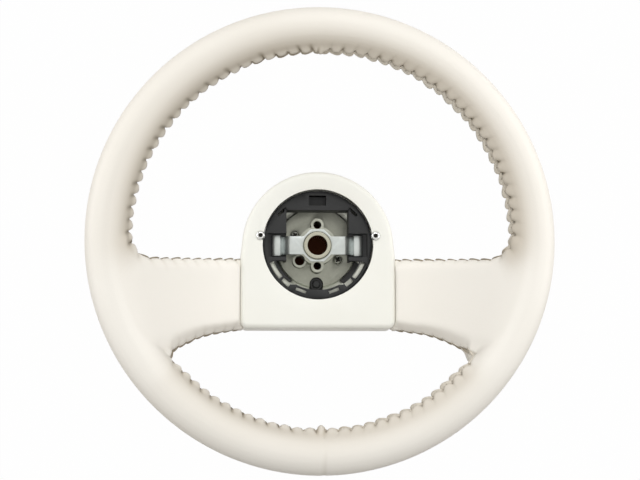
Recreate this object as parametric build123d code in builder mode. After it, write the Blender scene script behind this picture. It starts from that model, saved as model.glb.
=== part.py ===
from build123d import *
import os
from math import asin, cos, degrees, hypot, radians, sin

os.makedirs("parts", exist_ok=True)

# Frame: +Z is the steering axis towards the driver, +Y is twelve o'clock, +X is the driver's right.
# Z = 0 is the edge of the rear skirt, on which the wheel lies. All sizes are millimetres.

# Rim and spokes
RIM_RADIUS = 172.4
GRIP_RADIUS = 17.6
GRIP_SIDES = 12
GRIP_FLAT = GRIP_RADIUS * cos(radians(180 / GRIP_SIDES))
SEAM_RADIUS = RIM_RADIUS - GRIP_FLAT * cos(radians(180 / GRIP_SIDES))
RIM_HEIGHT = 90.0
SPOKE_START = 64.8
SPOKE_TOP = -12.5
SPOKE_BOTTOM = -70.0
SPOKE_FLARE = (96.0, -76.0)
SPOKE_EDGE = 9.0
SPOKE_FRONT = 46.0
SPOKE_BACK = 16.0
SPOKE_KNEE = 150.0
HOOP_BAR = 11.0
ARM_THICKNESS = 3.0

# Lacing
STITCH_LENGTH = 13.0
STITCH_WIDTH = 4.4
STITCH_HEIGHT = 3.2
STITCH_LIFT = 0.15
STITCH_SLANT = 25.0
STITCH_PITCH = 10.1

# Hub moulding
ARCH_RADIUS = 63.0
ARCH_CENTRE = -2.2
BLOCK_HALF = 64.3
BLOCK_TOP = -11.0
BLOCK_BOTTOM = -70.0
BLOCK_CORNER = 6.0
OPENING_RADIUS = 46.0
SHROUD_FRONT = 47.0
SHROUD_EDGE = 4.5
DISH_WIDTH = 9.0
DISH_DEPTH = 0.8
SPLIT_HEIGHT = 24.0
REAR_FLOOR = 4.0
WALL = 2.5
SKIRT_RADIUS = 49.0
SHROUD_SCREWS = [(47.8, 7.1), (-47.8, 7.1)]
SCREW_SEAT = 45.6
REAR_SCREWS = [(50.0, 20.5), (-50.0, 20.5), (50.0, -61.0), (-50.0, -61.0)]

# Hub metal
CAST_BACK = 10.0
FLANGE_TOP = 13.0
PLATE_TOP = 18.0
STAR_TOP = 35.0
LIP_TOP = 38.0
FLANGE_RADIUS = 45.0
PLATE_RADIUS = 34.0
BOSS_RADIUS = 12.5
LIP_RADIUS = 11.6
BORE_RADIUS = 8.3
PULLER_RADIUS = 3.3
CAM_SCREWS = [(-18.1, 10.4), (18.1, -10.4)]
PULLER_HOLES = [(0.0, 17.2), (0.0, -17.2)]
DOWEL_HOLE = (-14.5, -12.1)
TOWER_Y = -31.0
STRIP_THICKNESS = 0.8
CARRIER_RADIUS = 45.3
CARRIER_TOP = 38.0
CHANNEL_FLOOR = 29.0
RIB_TOP = 34.8
RIB_OUTER = 42.3
RIB_INNER = 38.7
RIB_ENDS = -15.0
RIB_CLEARANCE = 0.3
ARM_LEVEL = (CAST_BACK + FLANGE_TOP) / 2


def ring(outer, inner, base, top):
    """A plain ring about the steering axis between two heights."""
    with BuildPart() as body:
        with BuildSketch(Plane.XY.offset(base)):
            Circle(outer)
            Circle(inner, mode=Mode.SUBTRACT)
        extrude(amount=top - base)
    return body.part


def hub_outline(inset):
    """The D-shaped outline of the hub moulding, drawn in by a wall or a clearance."""
    with BuildSketch() as outline:
        with Locations((0, ARCH_CENTRE)):
            Circle(ARCH_RADIUS - inset)
        with Locations((0, (BLOCK_TOP + BLOCK_BOTTOM) / 2)):
            Rectangle(2 * (BLOCK_HALF - inset), BLOCK_TOP - BLOCK_BOTTOM - 2 * inset)
        make_hull(mode=Mode.REPLACE)
        low_corners = outline.vertices().group_by(Axis.Y)[0]
        fillet(low_corners, radius=BLOCK_CORNER - inset)
    return outline.sketch


def rib_outline(clearance):
    """The half-round rib of the casting that shows through the carrier's windows."""
    with BuildSketch() as outline:
        Circle(RIB_OUTER + clearance)
        Circle(RIB_INNER - clearance, mode=Mode.SUBTRACT)
        with Locations((0, RIB_ENDS + clearance)):
            Rectangle(3 * RIB_OUTER, 2 * RIB_OUTER, align=(Align.CENTER, Align.MIN), mode=Mode.SUBTRACT)
    return outline.sketch


# Spoke seen from the driver, with the wide corner where it runs into the rim
with BuildSketch() as spoke_plan:
    with BuildLine():
        top_edge = Line((SPOKE_START, SPOKE_TOP), (135.5, -15.5))
        corner = JernArc(top_edge @ 1, top_edge % 1, 20, 90)
        Polyline(corner @ 1, (171, 9), (166, -48), (139, -101), SPOKE_FLARE,
                 (SPOKE_START, SPOKE_BOTTOM), (SPOKE_START, SPOKE_TOP))
    make_face()
    fillet(spoke_plan.vertices().sort_by_distance((*SPOKE_FLARE, 0))[0], radius=60)

# Spoke seen from below, rising from the hub to the rim
with BuildSketch(Plane.XZ) as spoke_side:
    with BuildLine():
        front = Line((SPOKE_START, SPOKE_FRONT), (SPOKE_KNEE, 98))
        front_end = JernArc(front @ 1, front % 1, 60, -24)
        back = Line((SPOKE_START, SPOKE_BACK), (SPOKE_KNEE, 72))
        back_end = JernArc(back @ 1, back % 1, 40, -33)
        Line(front_end @ 1, back_end @ 1)
        Line(front @ 0, back @ 0)
    make_face()

with BuildPart() as spoke:
    add(spoke_plan.sketch)
    extrude(amount=130)
    with BuildSketch(Plane.XZ):
        add(spoke_side.sketch)
    extrude(amount=140, both=True, mode=Mode.INTERSECT)
    long_edges = spoke.edges().filter_by(Axis.Z, reverse=True).filter_by(Axis.Y, reverse=True)
    long_edges = long_edges.filter_by(lambda e: SPOKE_START + 1 < e.center().X < 155)
    long_edges = long_edges.filter_by(lambda e: hypot(e.center().X, e.center().Y) < 160)
    fillet(long_edges, radius=SPOKE_EDGE)

# Steel hoop with two arms that run through the spokes into the hub
with BuildPart() as arm:
    with BuildSketch():
        Polygon((16, -24), (29, -10), (66, -25), (166, -30), (166, -52), (66, -57), (38, -43), align=None)
    extrude(amount=130)
    with BuildSketch(Plane.XZ):
        with BuildLine() as arm_line:
            Polyline((12, ARM_LEVEL), (46, ARM_LEVEL), (62, 24), (166, RIM_HEIGHT))
        trace(arm_line.line, ARM_THICKNESS)
    extrude(amount=140, both=True, mode=Mode.INTERSECT)

with BuildPart() as rim_frame:
    with BuildSketch(Plane.XZ):
        with Locations((RIM_RADIUS, RIM_HEIGHT)):
            Rectangle(HOOP_BAR, HOOP_BAR)
    revolve(axis=Axis.Z)
    add(arm.part)
    add(mirror(arm.part, about=Plane.YZ))
rim_frame.part.label = "rim_frame"
export_step(rim_frame.part, "parts/rim_frame.step")

# Padded leather over the hoop and the arms
with BuildPart() as leather_cover:
    with BuildSketch(Plane.XZ):
        with Locations((RIM_RADIUS, RIM_HEIGHT)):
            RegularPolygon(GRIP_RADIUS, GRIP_SIDES)
    revolve(axis=Axis.Z)
    add(spoke.part)
    add(mirror(spoke.part, about=Plane.YZ))
    add(rim_frame.part, mode=Mode.SUBTRACT)
leather_cover.part.label = "leather_cover"
export_step(leather_cover.part, "parts/leather_cover.step")

# One gathered stitch, lying along X and standing out along Z
with BuildPart() as stitch:
    with BuildSketch():
        with BuildLine():
            tip = STITCH_LENGTH / 2
            side = STITCH_WIDTH / 2
            Polyline((-tip, 0), (-tip / 3, -side), (tip / 3, -side), (tip, 0),
                     (tip / 3, side), (-tip / 3, side), close=True)
        make_face()
    extrude(amount=STITCH_HEIGHT, taper=24)


def seam_height(point):
    """Height of the seam: the middle of the spoke's edge, rising to the rim's inner flank."""
    spoke_middle = 31 + 0.634 * (abs(point.X) - SPOKE_START)
    rim_seam = RIM_HEIGHT + GRIP_FLAT * sin(radians(180 / GRIP_SIDES))
    reach = hypot(point.X, point.Y)
    share = min(max((reach - 147) / (156 - 147), 0), 1)
    return spoke_middle * (1 - share) + rim_seam * share


def stitch_places(path, turn, lift):
    """Slanted places for stitches where a seam drawn from above meets the leather, on both hands."""
    places = []
    count = round(path.length / STITCH_PITCH)
    for step in range(count):
        share = (step + 0.5) / count
        point = path.position_at(share)
        run = path.tangent_at(share)
        out = run.rotate(Axis.Z, turn)
        start = Vector(point.X, point.Y, seam_height(point)) + out * 12
        hits = leather_cover.part.find_intersection_points(Axis(start, -out))
        seat, normal = min(hits, key=lambda hit: (hit[0] - start).length)
        for hand in (1, -1):
            place = Plane(origin=(hand * seat.X, seat.Y, seat.Z), x_dir=(hand * run.X, run.Y, 0),
                          z_dir=(hand * normal.X, normal.Y, normal.Z))
            places.append(place.location * Location((0, 0, lift), (0, 0, STITCH_SLANT)))
    return places


# Seams seen from the driver, from the right side of the hub to twelve and to six o'clock
with BuildLine() as upper_edge:
    upper_line = Line((SPOKE_START + 1, SPOKE_TOP), (135.5, -15.5))
    upper_turn = JernArc(upper_line @ 1, upper_line % 1, 20, 94.3)
    CenterArc((0, 0), SEAM_RADIUS, degrees(asin((upper_turn @ 1).Y / SEAM_RADIUS)) + 0.4, 87.5)
with BuildLine() as lower_edge:
    Polyline((SPOKE_START + 1, SPOKE_BOTTOM), SPOKE_FLARE, (122, -91))
with BuildLine() as lower_rim:
    CenterArc((0, 0), SEAM_RADIUS, -90, 51)

with BuildPart() as upper_lacing:
    for seam in upper_edge.edges():
        lift = STITCH_LIFT if seam.length > 100 else 0
        with Locations(*stitch_places(seam, 90, lift)):
            add(stitch.part)
    add(leather_cover.part, mode=Mode.SUBTRACT)
upper_lacing.part.label = "upper_lacing"
export_step(upper_lacing.part, "parts/upper_lacing.step")

with BuildPart() as lower_lacing:
    for seam in lower_edge.edges():
        with Locations(*stitch_places(seam, -90, 0)):
            add(stitch.part)
    for seam in lower_rim.edges():
        with Locations(*stitch_places(seam, 90, STITCH_LIFT)):
            add(stitch.part)
    add(leather_cover.part, mode=Mode.SUBTRACT)
lower_lacing.part.label = "lower_lacing"
export_step(lower_lacing.part, "parts/lower_lacing.step")

# Front half of the hub moulding
with BuildPart() as hub_shroud:
    with BuildSketch(Plane.XY.offset(SPLIT_HEIGHT)):
        add(hub_outline(0))
    extrude(amount=SHROUD_FRONT - SPLIT_HEIGHT)
    fillet(hub_shroud.faces().sort_by(Axis.Z)[-1].outer_wire().edges(), radius=SHROUD_EDGE)
    with BuildSketch(Plane.XY.offset(SPLIT_HEIGHT)):
        add(hub_outline(WALL))
    extrude(amount=SHROUD_FRONT - WALL - SPLIT_HEIGHT, mode=Mode.SUBTRACT)
    with BuildSketch(Plane.XY.offset(SPLIT_HEIGHT)):
        with Locations(*SHROUD_SCREWS):
            Circle(6)
    extrude(amount=SHROUD_FRONT - 1 - SPLIT_HEIGHT)
    with BuildSketch(Plane.XY.offset(REAR_FLOOR + WALL)):
        with Locations(*REAR_SCREWS):
            Rectangle(7, 7)
    extrude(amount=SHROUD_FRONT - 1 - REAR_FLOOR - WALL)
    with BuildSketch(Plane.XY.offset(REAR_FLOOR)):
        Circle(OPENING_RADIUS)
    extrude(amount=SHROUD_FRONT, mode=Mode.SUBTRACT)
    with BuildSketch(Plane.XZ):
        Polygon((OPENING_RADIUS - 1, SHROUD_FRONT), (OPENING_RADIUS - 1, SHROUD_FRONT - DISH_DEPTH),
                (OPENING_RADIUS + DISH_WIDTH, SHROUD_FRONT), align=None)
    revolve(axis=Axis.Z, mode=Mode.SUBTRACT)
    with BuildSketch():
        with Locations(*SHROUD_SCREWS):
            Circle(2.2)
    extrude(amount=SHROUD_FRONT, mode=Mode.SUBTRACT)
    with BuildSketch(Plane.XY.offset(SCREW_SEAT)):
        with Locations(*SHROUD_SCREWS):
            Circle(4.1)
    extrude(amount=5, mode=Mode.SUBTRACT)
    with BuildSketch(Plane.XY.offset(REAR_FLOOR)):
        with Locations(*REAR_SCREWS):
            Circle(1.6)
    extrude(amount=16, mode=Mode.SUBTRACT)
    with Locations((0, -41, SPLIT_HEIGHT)):
        Box(2 * BLOCK_HALF + 4, 36, 14, mode=Mode.SUBTRACT)
hub_shroud.part.label = "hub_shroud"
export_step(hub_shroud.part, "parts/hub_shroud.step")

# Rear half of the hub moulding, with the skirt round the steering column
with BuildPart() as rear_cover:
    with BuildSketch(Plane.XY.offset(REAR_FLOOR)):
        add(hub_outline(0))
    extrude(amount=SPLIT_HEIGHT - REAR_FLOOR)
    chamfer(rear_cover.faces().sort_by(Axis.Z)[0].outer_wire().edges(), length=3)
    with BuildSketch(Plane.XY.offset(REAR_FLOOR + WALL)):
        add(hub_outline(WALL))
    extrude(amount=SPLIT_HEIGHT, mode=Mode.SUBTRACT)
    with BuildSketch():
        Circle(SKIRT_RADIUS)
    extrude(amount=REAR_FLOOR + WALL)
    with BuildSketch():
        Circle(SKIRT_RADIUS - 3)
    extrude(amount=SPLIT_HEIGHT, mode=Mode.SUBTRACT)
    with BuildSketch():
        with Locations(*REAR_SCREWS):
            Circle(1.8)
    extrude(amount=SPLIT_HEIGHT, mode=Mode.SUBTRACT)
    with Locations((0, -41, SPLIT_HEIGHT)):
        Box(2 * BLOCK_HALF + 4, 36, 14, mode=Mode.SUBTRACT)
rear_cover.part.label = "rear_cover"
export_step(rear_cover.part, "parts/rear_cover.step")

with BuildPart() as rear_cover_screws:
    with BuildSketch(Plane.XY.offset(REAR_FLOOR)):
        with Locations(*REAR_SCREWS):
            Circle(1.6)
    extrude(amount=14)
    with BuildSketch(Plane.XY.offset(REAR_FLOOR - 1.8)):
        with Locations(*REAR_SCREWS):
            RegularPolygon(3.4, 6)
    extrude(amount=1.8)
rear_cover_screws.part.label = "rear_cover_screws"
export_step(rear_cover_screws.part, "parts/rear_cover_screws.step")

# Domed socket screws that hold the shroud to the casting's lugs
with BuildPart() as shroud_screw:
    with BuildSketch(Plane.XZ):
        with BuildLine():
            Polyline((0, 14), (2, 14), (2, SCREW_SEAT), (3.8, SCREW_SEAT), (3.8, SCREW_SEAT + 0.8),
                     (3.1, SCREW_SEAT + 2.2), (1.7, SCREW_SEAT + 3), (0, SCREW_SEAT + 3), close=True)
        make_face()
    revolve(axis=Axis.Z)
    with BuildSketch(Plane.XY.offset(SCREW_SEAT + 1)):
        RegularPolygon(1.5, 6)
    extrude(amount=4, mode=Mode.SUBTRACT)

with BuildPart() as shroud_screws:
    with Locations(*SHROUD_SCREWS):
        add(shroud_screw.part)
shroud_screws.part.label = "shroud_screws"
export_step(shroud_screws.part, "parts/shroud_screws.step")


# Die-cast hub: flange, stepped plate, raised centre with the puller bosses, and lugs for the shroud
with BuildPart() as hub_casting:
    with BuildSketch(Plane.XY.offset(CAST_BACK)):
        Circle(FLANGE_RADIUS)
    extrude(amount=FLANGE_TOP - CAST_BACK)
    add(ring(PLATE_RADIUS + 3, PLATE_RADIUS, CAST_BACK + 1.5, FLANGE_TOP), mode=Mode.SUBTRACT)
    with BuildSketch(Plane.XY.offset(CAST_BACK)):
        Circle(PLATE_RADIUS)
    extrude(amount=PLATE_TOP - CAST_BACK)
    chamfer(hub_casting.faces().sort_by(Axis.Z)[-1].edges(), length=1)
    with BuildSketch(Plane.XY.offset(PLATE_TOP)):
        Circle(16)
        Rectangle(10, 2 * PULLER_HOLES[0][1])
        with Locations(*PULLER_HOLES):
            Circle(5.4)
    extrude(amount=STAR_TOP - PLATE_TOP)
    with BuildSketch(Plane.XY.offset(PLATE_TOP)):
        with Locations(DOWEL_HOLE):
            Circle(6)
    extrude(amount=10)
    with BuildSketch(Plane.XY.offset(CAST_BACK)):
        with Locations(*SHROUD_SCREWS):
            Circle(5.5)
    extrude(amount=SPLIT_HEIGHT - CAST_BACK)
    with BuildSketch(Plane.XY.offset(FLANGE_TOP)):
        Circle(CARRIER_RADIUS + 0.4)
        Circle(PLATE_RADIUS + 5, mode=Mode.SUBTRACT)
    extrude(amount=SPLIT_HEIGHT, mode=Mode.SUBTRACT)
    with BuildSketch(Plane.XY.offset(FLANGE_TOP)):
        add(rib_outline(0))
    extrude(amount=RIB_TOP - FLANGE_TOP)
    with BuildSketch():
        Circle(BOSS_RADIUS)
        with Locations(*PULLER_HOLES):
            Circle(PULLER_RADIUS)
        with Locations(DOWEL_HOLE):
            Circle(4.1)
        with Locations(*CAM_SCREWS):
            Circle(1.9)
        with Locations((0, TOWER_Y)):
            Circle(5.7)
        with Locations((0, TOWER_Y - 3.5)):
            Rectangle(11.4, 7)
    extrude(amount=LIP_TOP, mode=Mode.SUBTRACT)
    with BuildSketch(Plane.XY.offset(PLATE_TOP - 1.5)):
        with Locations(*CAM_SCREWS):
            Circle(4.6)
    extrude(amount=LIP_TOP, mode=Mode.SUBTRACT)
    with BuildSketch(Plane.XY.offset(FLANGE_TOP)):
        with Locations(*SHROUD_SCREWS):
            Circle(2)
    extrude(amount=LIP_TOP, mode=Mode.SUBTRACT)
    add(rim_frame.part, mode=Mode.SUBTRACT)
hub_casting.part.label = "hub_casting"
export_step(hub_casting.part, "parts/hub_casting.step")

# Steel boss: splined behind, plain in front for the column's threaded end
with BuildPart() as spline_boss:
    with BuildSketch(Plane.XY.offset(3)):
        Circle(BOSS_RADIUS)
    extrude(amount=STAR_TOP - 3)
    with BuildSketch(Plane.XY.offset(STAR_TOP)):
        Circle(LIP_RADIUS)
    extrude(amount=LIP_TOP - STAR_TOP)
    chamfer(spline_boss.faces().sort_by(Axis.Z)[-1].edges(), length=0.6)
    with BuildSketch():
        Circle(BORE_RADIUS)
    extrude(amount=LIP_TOP, mode=Mode.SUBTRACT)
    with BuildSketch():
        Circle(9.4)
        with PolarLocations(9.4, 36):
            Rectangle(1.6, 0.8)
    extrude(amount=LIP_TOP - 10, mode=Mode.SUBTRACT)
spline_boss.part.label = "spline_boss"
export_step(spline_boss.part, "parts/spline_boss.step")

# Black carrier for the horn cap: a walled ring with a squared well, strip channels and windows
with BuildPart() as horn_carrier:
    add(ring(CARRIER_RADIUS, CARRIER_RADIUS - 2.5, FLANGE_TOP, CARRIER_TOP))
    with BuildSketch(Plane.XY.offset(CARRIER_TOP - 2.5)):
        Circle(CARRIER_RADIUS)
    extrude(amount=2.5)
    with BuildSketch(Plane.XY.offset(PLATE_TOP + 0.3)):
        with Locations((0, 1.2)):
            Rectangle(56, 60.6)
        with Locations((35, 0), (-35, 0)):
            Rectangle(16, 24)
    extrude(amount=CARRIER_TOP - PLATE_TOP - 0.3)
    with BuildSketch():
        with Locations((0, 1.2)):
            Rectangle(52, 56.6)
        with Locations((0, -27)):
            Rectangle(44, 12)
        Circle(37.5)
        with Locations((0, 32)):
            Rectangle(100, 90, mode=Mode.SUBTRACT)
        with Locations((0, 1.2)):
            Rectangle(52, 56.6)
    extrude(amount=LIP_TOP + 5, mode=Mode.SUBTRACT)
    with BuildSketch(Plane.XY.offset(CHANNEL_FLOOR)):
        Rectangle(2 * (CARRIER_RADIUS - 3.5), 20)
    extrude(amount=LIP_TOP, mode=Mode.SUBTRACT)
    with BuildSketch(Plane.XY.offset(PLATE_TOP)):
        add(rib_outline(RIB_CLEARANCE))
    extrude(amount=RIB_TOP + RIB_CLEARANCE - PLATE_TOP, mode=Mode.SUBTRACT)
    with BuildSketch(Plane.XY.offset(CHANNEL_FLOOR - 4)):
        with Locations((0, 37.5)):
            Rectangle(16.8, 8.4)
    extrude(amount=CARRIER_TOP - CHANNEL_FLOOR + 4)
    with BuildSketch(Plane.XY.offset(CHANNEL_FLOOR - 2)):
        with Locations((0, 37.5)):
            Rectangle(14.3, 8.4)
    extrude(amount=LIP_TOP, mode=Mode.SUBTRACT)
    with BuildSketch(Plane.XY.offset(RIB_TOP + RIB_CLEARANCE / 2)):
        with PolarLocations(40.8, 2, start_angle=-31, angular_range=-118, endpoint=True):
            Rectangle(5.4, 15.4)
        with PolarLocations(40.7, 2, start_angle=-50, angular_range=-80, endpoint=True):
            Rectangle(5, 7.6)
        with PolarLocations(40.4, 2, start_angle=-70, angular_range=-40, endpoint=True):
            Rectangle(2.6, 9)
        with Locations((29.5, 28)):
            Rectangle(9, 2.6, rotation=-42)
        with Locations((-29.5, 28)):
            Rectangle(9, 2.6, rotation=42)
    extrude(amount=LIP_TOP, mode=Mode.SUBTRACT)
horn_carrier.part.label = "horn_carrier"
export_step(horn_carrier.part, "parts/horn_carrier.step")

# Stamped spring strip: clamped round the boss lip, its bent feet pressing the carrier down
with BuildPart() as contact_strip:
    with BuildSketch(Plane.XZ):
        strip_level = STAR_TOP + STRIP_THICKNESS / 2
        with BuildLine() as strip_line:
            right_leg = Polyline((0, strip_level), (21.2, strip_level), (22.8, strip_level + 0.9),
                                 (24.4, strip_level - 0.3), (28.2, 31.0), (29.6, CHANNEL_FLOOR + 0.6),
                                 (31.2, 32.4), (33.6, 32.8), (37.4, 31.4))
            mirror(right_leg, about=Plane.YZ)
        trace(strip_line.line, STRIP_THICKNESS)
    extrude(amount=20, both=True)
    with BuildSketch():
        Rectangle(62, 15.2)
        with Locations((34.2, 0), (-34.2, 0)):
            Rectangle(8, 17.4)
        RegularPolygon(14.6, 8, rotation=22.5)
        Circle(LIP_RADIUS + 0.2, mode=Mode.SUBTRACT)
    extrude(amount=60, mode=Mode.INTERSECT)
contact_strip.part.label = "contact_strip"
export_step(contact_strip.part, "parts/contact_strip.step")

# Screws from the casting's pockets into the cancelling cam
with BuildPart() as cam_screws:
    with BuildSketch(Plane.XY.offset(CAST_BACK - 3)):
        with Locations(*CAM_SCREWS):
            Circle(1.5)
    extrude(amount=PLATE_TOP - 1.5 - CAST_BACK + 3)
    with BuildSketch(Plane.XY.offset(PLATE_TOP - 1.5)):
        with Locations(*CAM_SCREWS):
            Circle(3.6)
    extrude(amount=2.4)
    chamfer(cam_screws.faces().group_by(Axis.Z)[-1].edges(), length=0.8)
cam_screws.part.label = "cam_screws"
export_step(cam_screws.part, "parts/cam_screws.step")

# Cancelling cam behind the hub, with the tower that guides the contact pin
with BuildPart() as cancel_cam:
    add(ring(43, 24, 6.5, CAST_BACK))
    with BuildSketch(Plane.XY.offset(6.5)):
        with Locations(*CAM_SCREWS):
            Circle(5)
    extrude(amount=CAST_BACK - 6.5)
    with BuildSketch(Plane.XY.offset(1.5)):
        with Locations((28, 13), (-28, 13)):
            Circle(2.2)
    extrude(amount=5)
    with BuildSketch(Plane.XY.offset(2)):
        with Locations((0, TOWER_Y)):
            Circle(5.2)
    extrude(amount=14.5)
    with BuildSketch(Plane.XY.offset(3.2)):
        with Locations((0, TOWER_Y)):
            Circle(3.8)
    extrude(amount=12.1, mode=Mode.SUBTRACT)
    with BuildSketch(Plane.XY.offset(15)):
        with Locations((0, TOWER_Y)):
            Circle(3.2)
    extrude(amount=3, mode=Mode.SUBTRACT)
    add(cam_screws.part, mode=Mode.SUBTRACT)
cancel_cam.part.label = "cancel_cam"
export_step(cancel_cam.part, "parts/cancel_cam.step")

with BuildPart() as slip_ring:
    add(ring(42, 37.8, 5.5, 6.5))
slip_ring.part.label = "slip_ring"
export_step(slip_ring.part, "parts/slip_ring.step")

# Contact pin that the horn cap presses, and the coil spring under it
with BuildPart() as contact_pin:
    with BuildSketch(Plane.XY.offset(11)):
        with Locations((0, TOWER_Y)):
            Circle(3.72)
    extrude(amount=4)
    with BuildSketch(Plane.XY.offset(15)):
        with Locations((0, TOWER_Y)):
            Circle(3.12)
    extrude(amount=5)
    chamfer(contact_pin.faces().sort_by(Axis.Z)[-1].edges(), length=0.7)
contact_pin.part.label = "contact_pin"
export_step(contact_pin.part, "parts/contact_pin.step")

with BuildPart() as pin_spring:
    with BuildLine() as coil:
        Helix(pitch=2.35, height=7, radius=2.9, center=(0, TOWER_Y, 3.5))
    with BuildSketch(Plane(origin=coil.line @ 0, z_dir=coil.line % 0)):
        Rectangle(0.55, 0.55)
    sweep(is_frenet=True)
pin_spring.part.label = "pin_spring"
export_step(pin_spring.part, "parts/pin_spring.step")
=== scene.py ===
"""Looks of a leather-laced car steering wheel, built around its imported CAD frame."""

import math

import bmesh
import bpy
import numpy as np
from mathutils import Matrix, Vector
from mathutils.bvhtree import BVHTree
from mathutils.kdtree import KDTree


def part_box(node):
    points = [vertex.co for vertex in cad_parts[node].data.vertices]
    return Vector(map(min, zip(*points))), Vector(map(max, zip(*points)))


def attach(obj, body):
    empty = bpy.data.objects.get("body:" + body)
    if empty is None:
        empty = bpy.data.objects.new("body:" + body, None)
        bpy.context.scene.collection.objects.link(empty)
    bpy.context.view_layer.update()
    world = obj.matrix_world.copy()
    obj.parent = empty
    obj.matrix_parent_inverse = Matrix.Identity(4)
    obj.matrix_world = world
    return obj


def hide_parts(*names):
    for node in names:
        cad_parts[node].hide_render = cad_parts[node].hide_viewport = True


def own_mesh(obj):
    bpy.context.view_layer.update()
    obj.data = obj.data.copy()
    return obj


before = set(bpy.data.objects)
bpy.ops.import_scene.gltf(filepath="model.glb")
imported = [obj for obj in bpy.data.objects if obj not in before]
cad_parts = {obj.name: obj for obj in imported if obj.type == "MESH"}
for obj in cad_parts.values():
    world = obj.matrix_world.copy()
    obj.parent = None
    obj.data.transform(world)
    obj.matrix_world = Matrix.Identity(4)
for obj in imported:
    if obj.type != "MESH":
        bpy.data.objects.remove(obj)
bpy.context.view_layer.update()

bl_info = {
    "name": "Laced Steering Wheel",
    "version": (1, 0, 0),
    "blender": (4, 5, 0),
    "location": "3D View > Sidebar > Wheel",
    "description": "Dresses the CAD frame of a car steering wheel with leather, lacing and hub finishes",
    "category": "Object",
}

MM = 0.001
WHEEL = "wheel"
PIN = "pin"
SOLID_GRIP = 17.6 * MM
LEATHER_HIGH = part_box("leather_cover")[1]


def linear(hex_colour):
    """An sRGB hex colour as linear RGBA."""
    shares = [int(hex_colour[i:i + 2], 16) / 255 for i in (0, 2, 4)]
    return (*[c / 12.92 if c <= 0.04045 else ((c + 0.055) / 1.055) ** 2.4 for c in shares], 1.0)


def per_mm(size):
    """Texture scale, in object coordinates, whose features are about this many millimetres wide."""
    return 1 / (size * MM)


def add_node(tree, kind, inputs=None, **settings):
    """Adds a node, sets its settings, and sets or links its inputs."""
    made = tree.nodes.new(kind)
    for name, value in settings.items():
        setattr(made, name, value)
    for name, value in (inputs or {}).items():
        if isinstance(value, bpy.types.NodeSocket):
            tree.links.new(value, made.inputs[name])
        else:
            made.inputs[name].default_value = value
    return made


# Settings that a user would change

LENGTH = {"unit": "LENGTH", "subtype": "DISTANCE"}
ANGLE = {"unit": "ROTATION", "subtype": "ANGLE"}
COLOUR = {"size": 4, "min": 0, "max": 1, "subtype": "COLOR"}
PLACE = {"size": 3, "unit": "LENGTH", "subtype": "TRANSLATION"}


class RimSettings(bpy.types.PropertyGroup):
    """Sizes and colour of the leather over the rim and the spokes."""

    rim_radius: bpy.props.FloatProperty(
        name="Rim Radius", description="Radius of the line through the middle of the grip",
        default=LEATHER_HIGH.x - SOLID_GRIP, **LENGTH)
    grip_radius: bpy.props.FloatProperty(
        name="Grip Radius", description="Radius of the grip's round section, a little under the solid's",
        default=17.4 * MM, **LENGTH)
    rim_height: bpy.props.FloatProperty(
        name="Rim Height", description="Height of the grip's middle over the rear skirt",
        default=LEATHER_HIGH.z - SOLID_GRIP, **LENGTH)
    voxel: bpy.props.FloatProperty(
        name="Voxel", description="Size of the cells that join the rim and the spokes",
        default=1.95 * MM, **LENGTH)
    evening: bpy.props.IntProperty(
        name="Evening", description="Passes that even the leather where the spokes run into the grip",
        default=16, min=0)
    pucker: bpy.props.FloatProperty(
        name="Pucker", description="How far the leather stands up in a fold between two stitches",
        default=2.9 * MM, **LENGTH)
    crease: bpy.props.FloatProperty(
        name="Crease", description="Depth of the crease that runs from each stitch",
        default=1.4 * MM, **LENGTH)
    crease_reach: bpy.props.FloatProperty(
        name="Crease Reach", description="How far a crease runs over the grip",
        default=7 * MM, **LENGTH)
    seam_left: bpy.props.FloatProperty(
        name="Left Seam", description="Height of the left seam, as a turn of the grip towards the driver",
        default=math.radians(-13), **ANGLE)
    seam_right: bpy.props.FloatProperty(
        name="Right Seam", description="Height of the right seam, as a turn of the grip towards the driver",
        default=math.radians(17), **ANGLE)
    colour: bpy.props.FloatVectorProperty(
        name="Leather", description="Colour of the clean leather", default=linear("F9F5EE"), **COLOUR)


class LacingSettings(bpy.types.PropertyGroup):
    """Sizes and colour of the gathered, laced edges."""

    pitch: bpy.props.FloatProperty(
        name="Pitch", description="Distance from stitch to stitch", default=10.1 * MM, **LENGTH)
    length: bpy.props.FloatProperty(
        name="Length", description="Length of one gathered fold", default=12.8 * MM, **LENGTH)
    width: bpy.props.FloatProperty(
        name="Width", description="Width of one gathered fold", default=8.8 * MM, **LENGTH)
    height: bpy.props.FloatProperty(
        name="Height", description="How far a fold stands out of the leather", default=3.3 * MM, **LENGTH)
    slant: bpy.props.FloatProperty(
        name="Slant", description="Turn of a fold away from the seam", default=math.radians(14), **ANGLE)
    tilt: bpy.props.FloatProperty(
        name="Tilt", description="How far the blunt end of a fold lifts over the tip of the last one",
        default=math.radians(7), **ANGLE)
    gap: bpy.props.FloatProperty(
        name="Gap", description="Distance of the far edge's folds from the seam", default=3.2 * MM, **LENGTH)
    colour: bpy.props.FloatVectorProperty(
        name="Lacing", description="Colour of the folded edge of the leather",
        default=linear("F3EDE1"), **COLOUR)


class HubSettings(bpy.types.PropertyGroup):
    """Edge sizes and colours of the hub."""

    edge: bpy.props.FloatProperty(
        name="Edge", description="Width of the broken edges on metal and plastic",
        default=0.3 * MM, **LENGTH)
    moulding: bpy.props.FloatVectorProperty(
        name="Moulding", description="Colour of the off-white hub moulding",
        default=linear("F6F6F0"), **COLOUR)
    carrier: bpy.props.FloatVectorProperty(
        name="Carrier", description="Colour of the black mouldings", default=linear("18191B"), **COLOUR)


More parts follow.
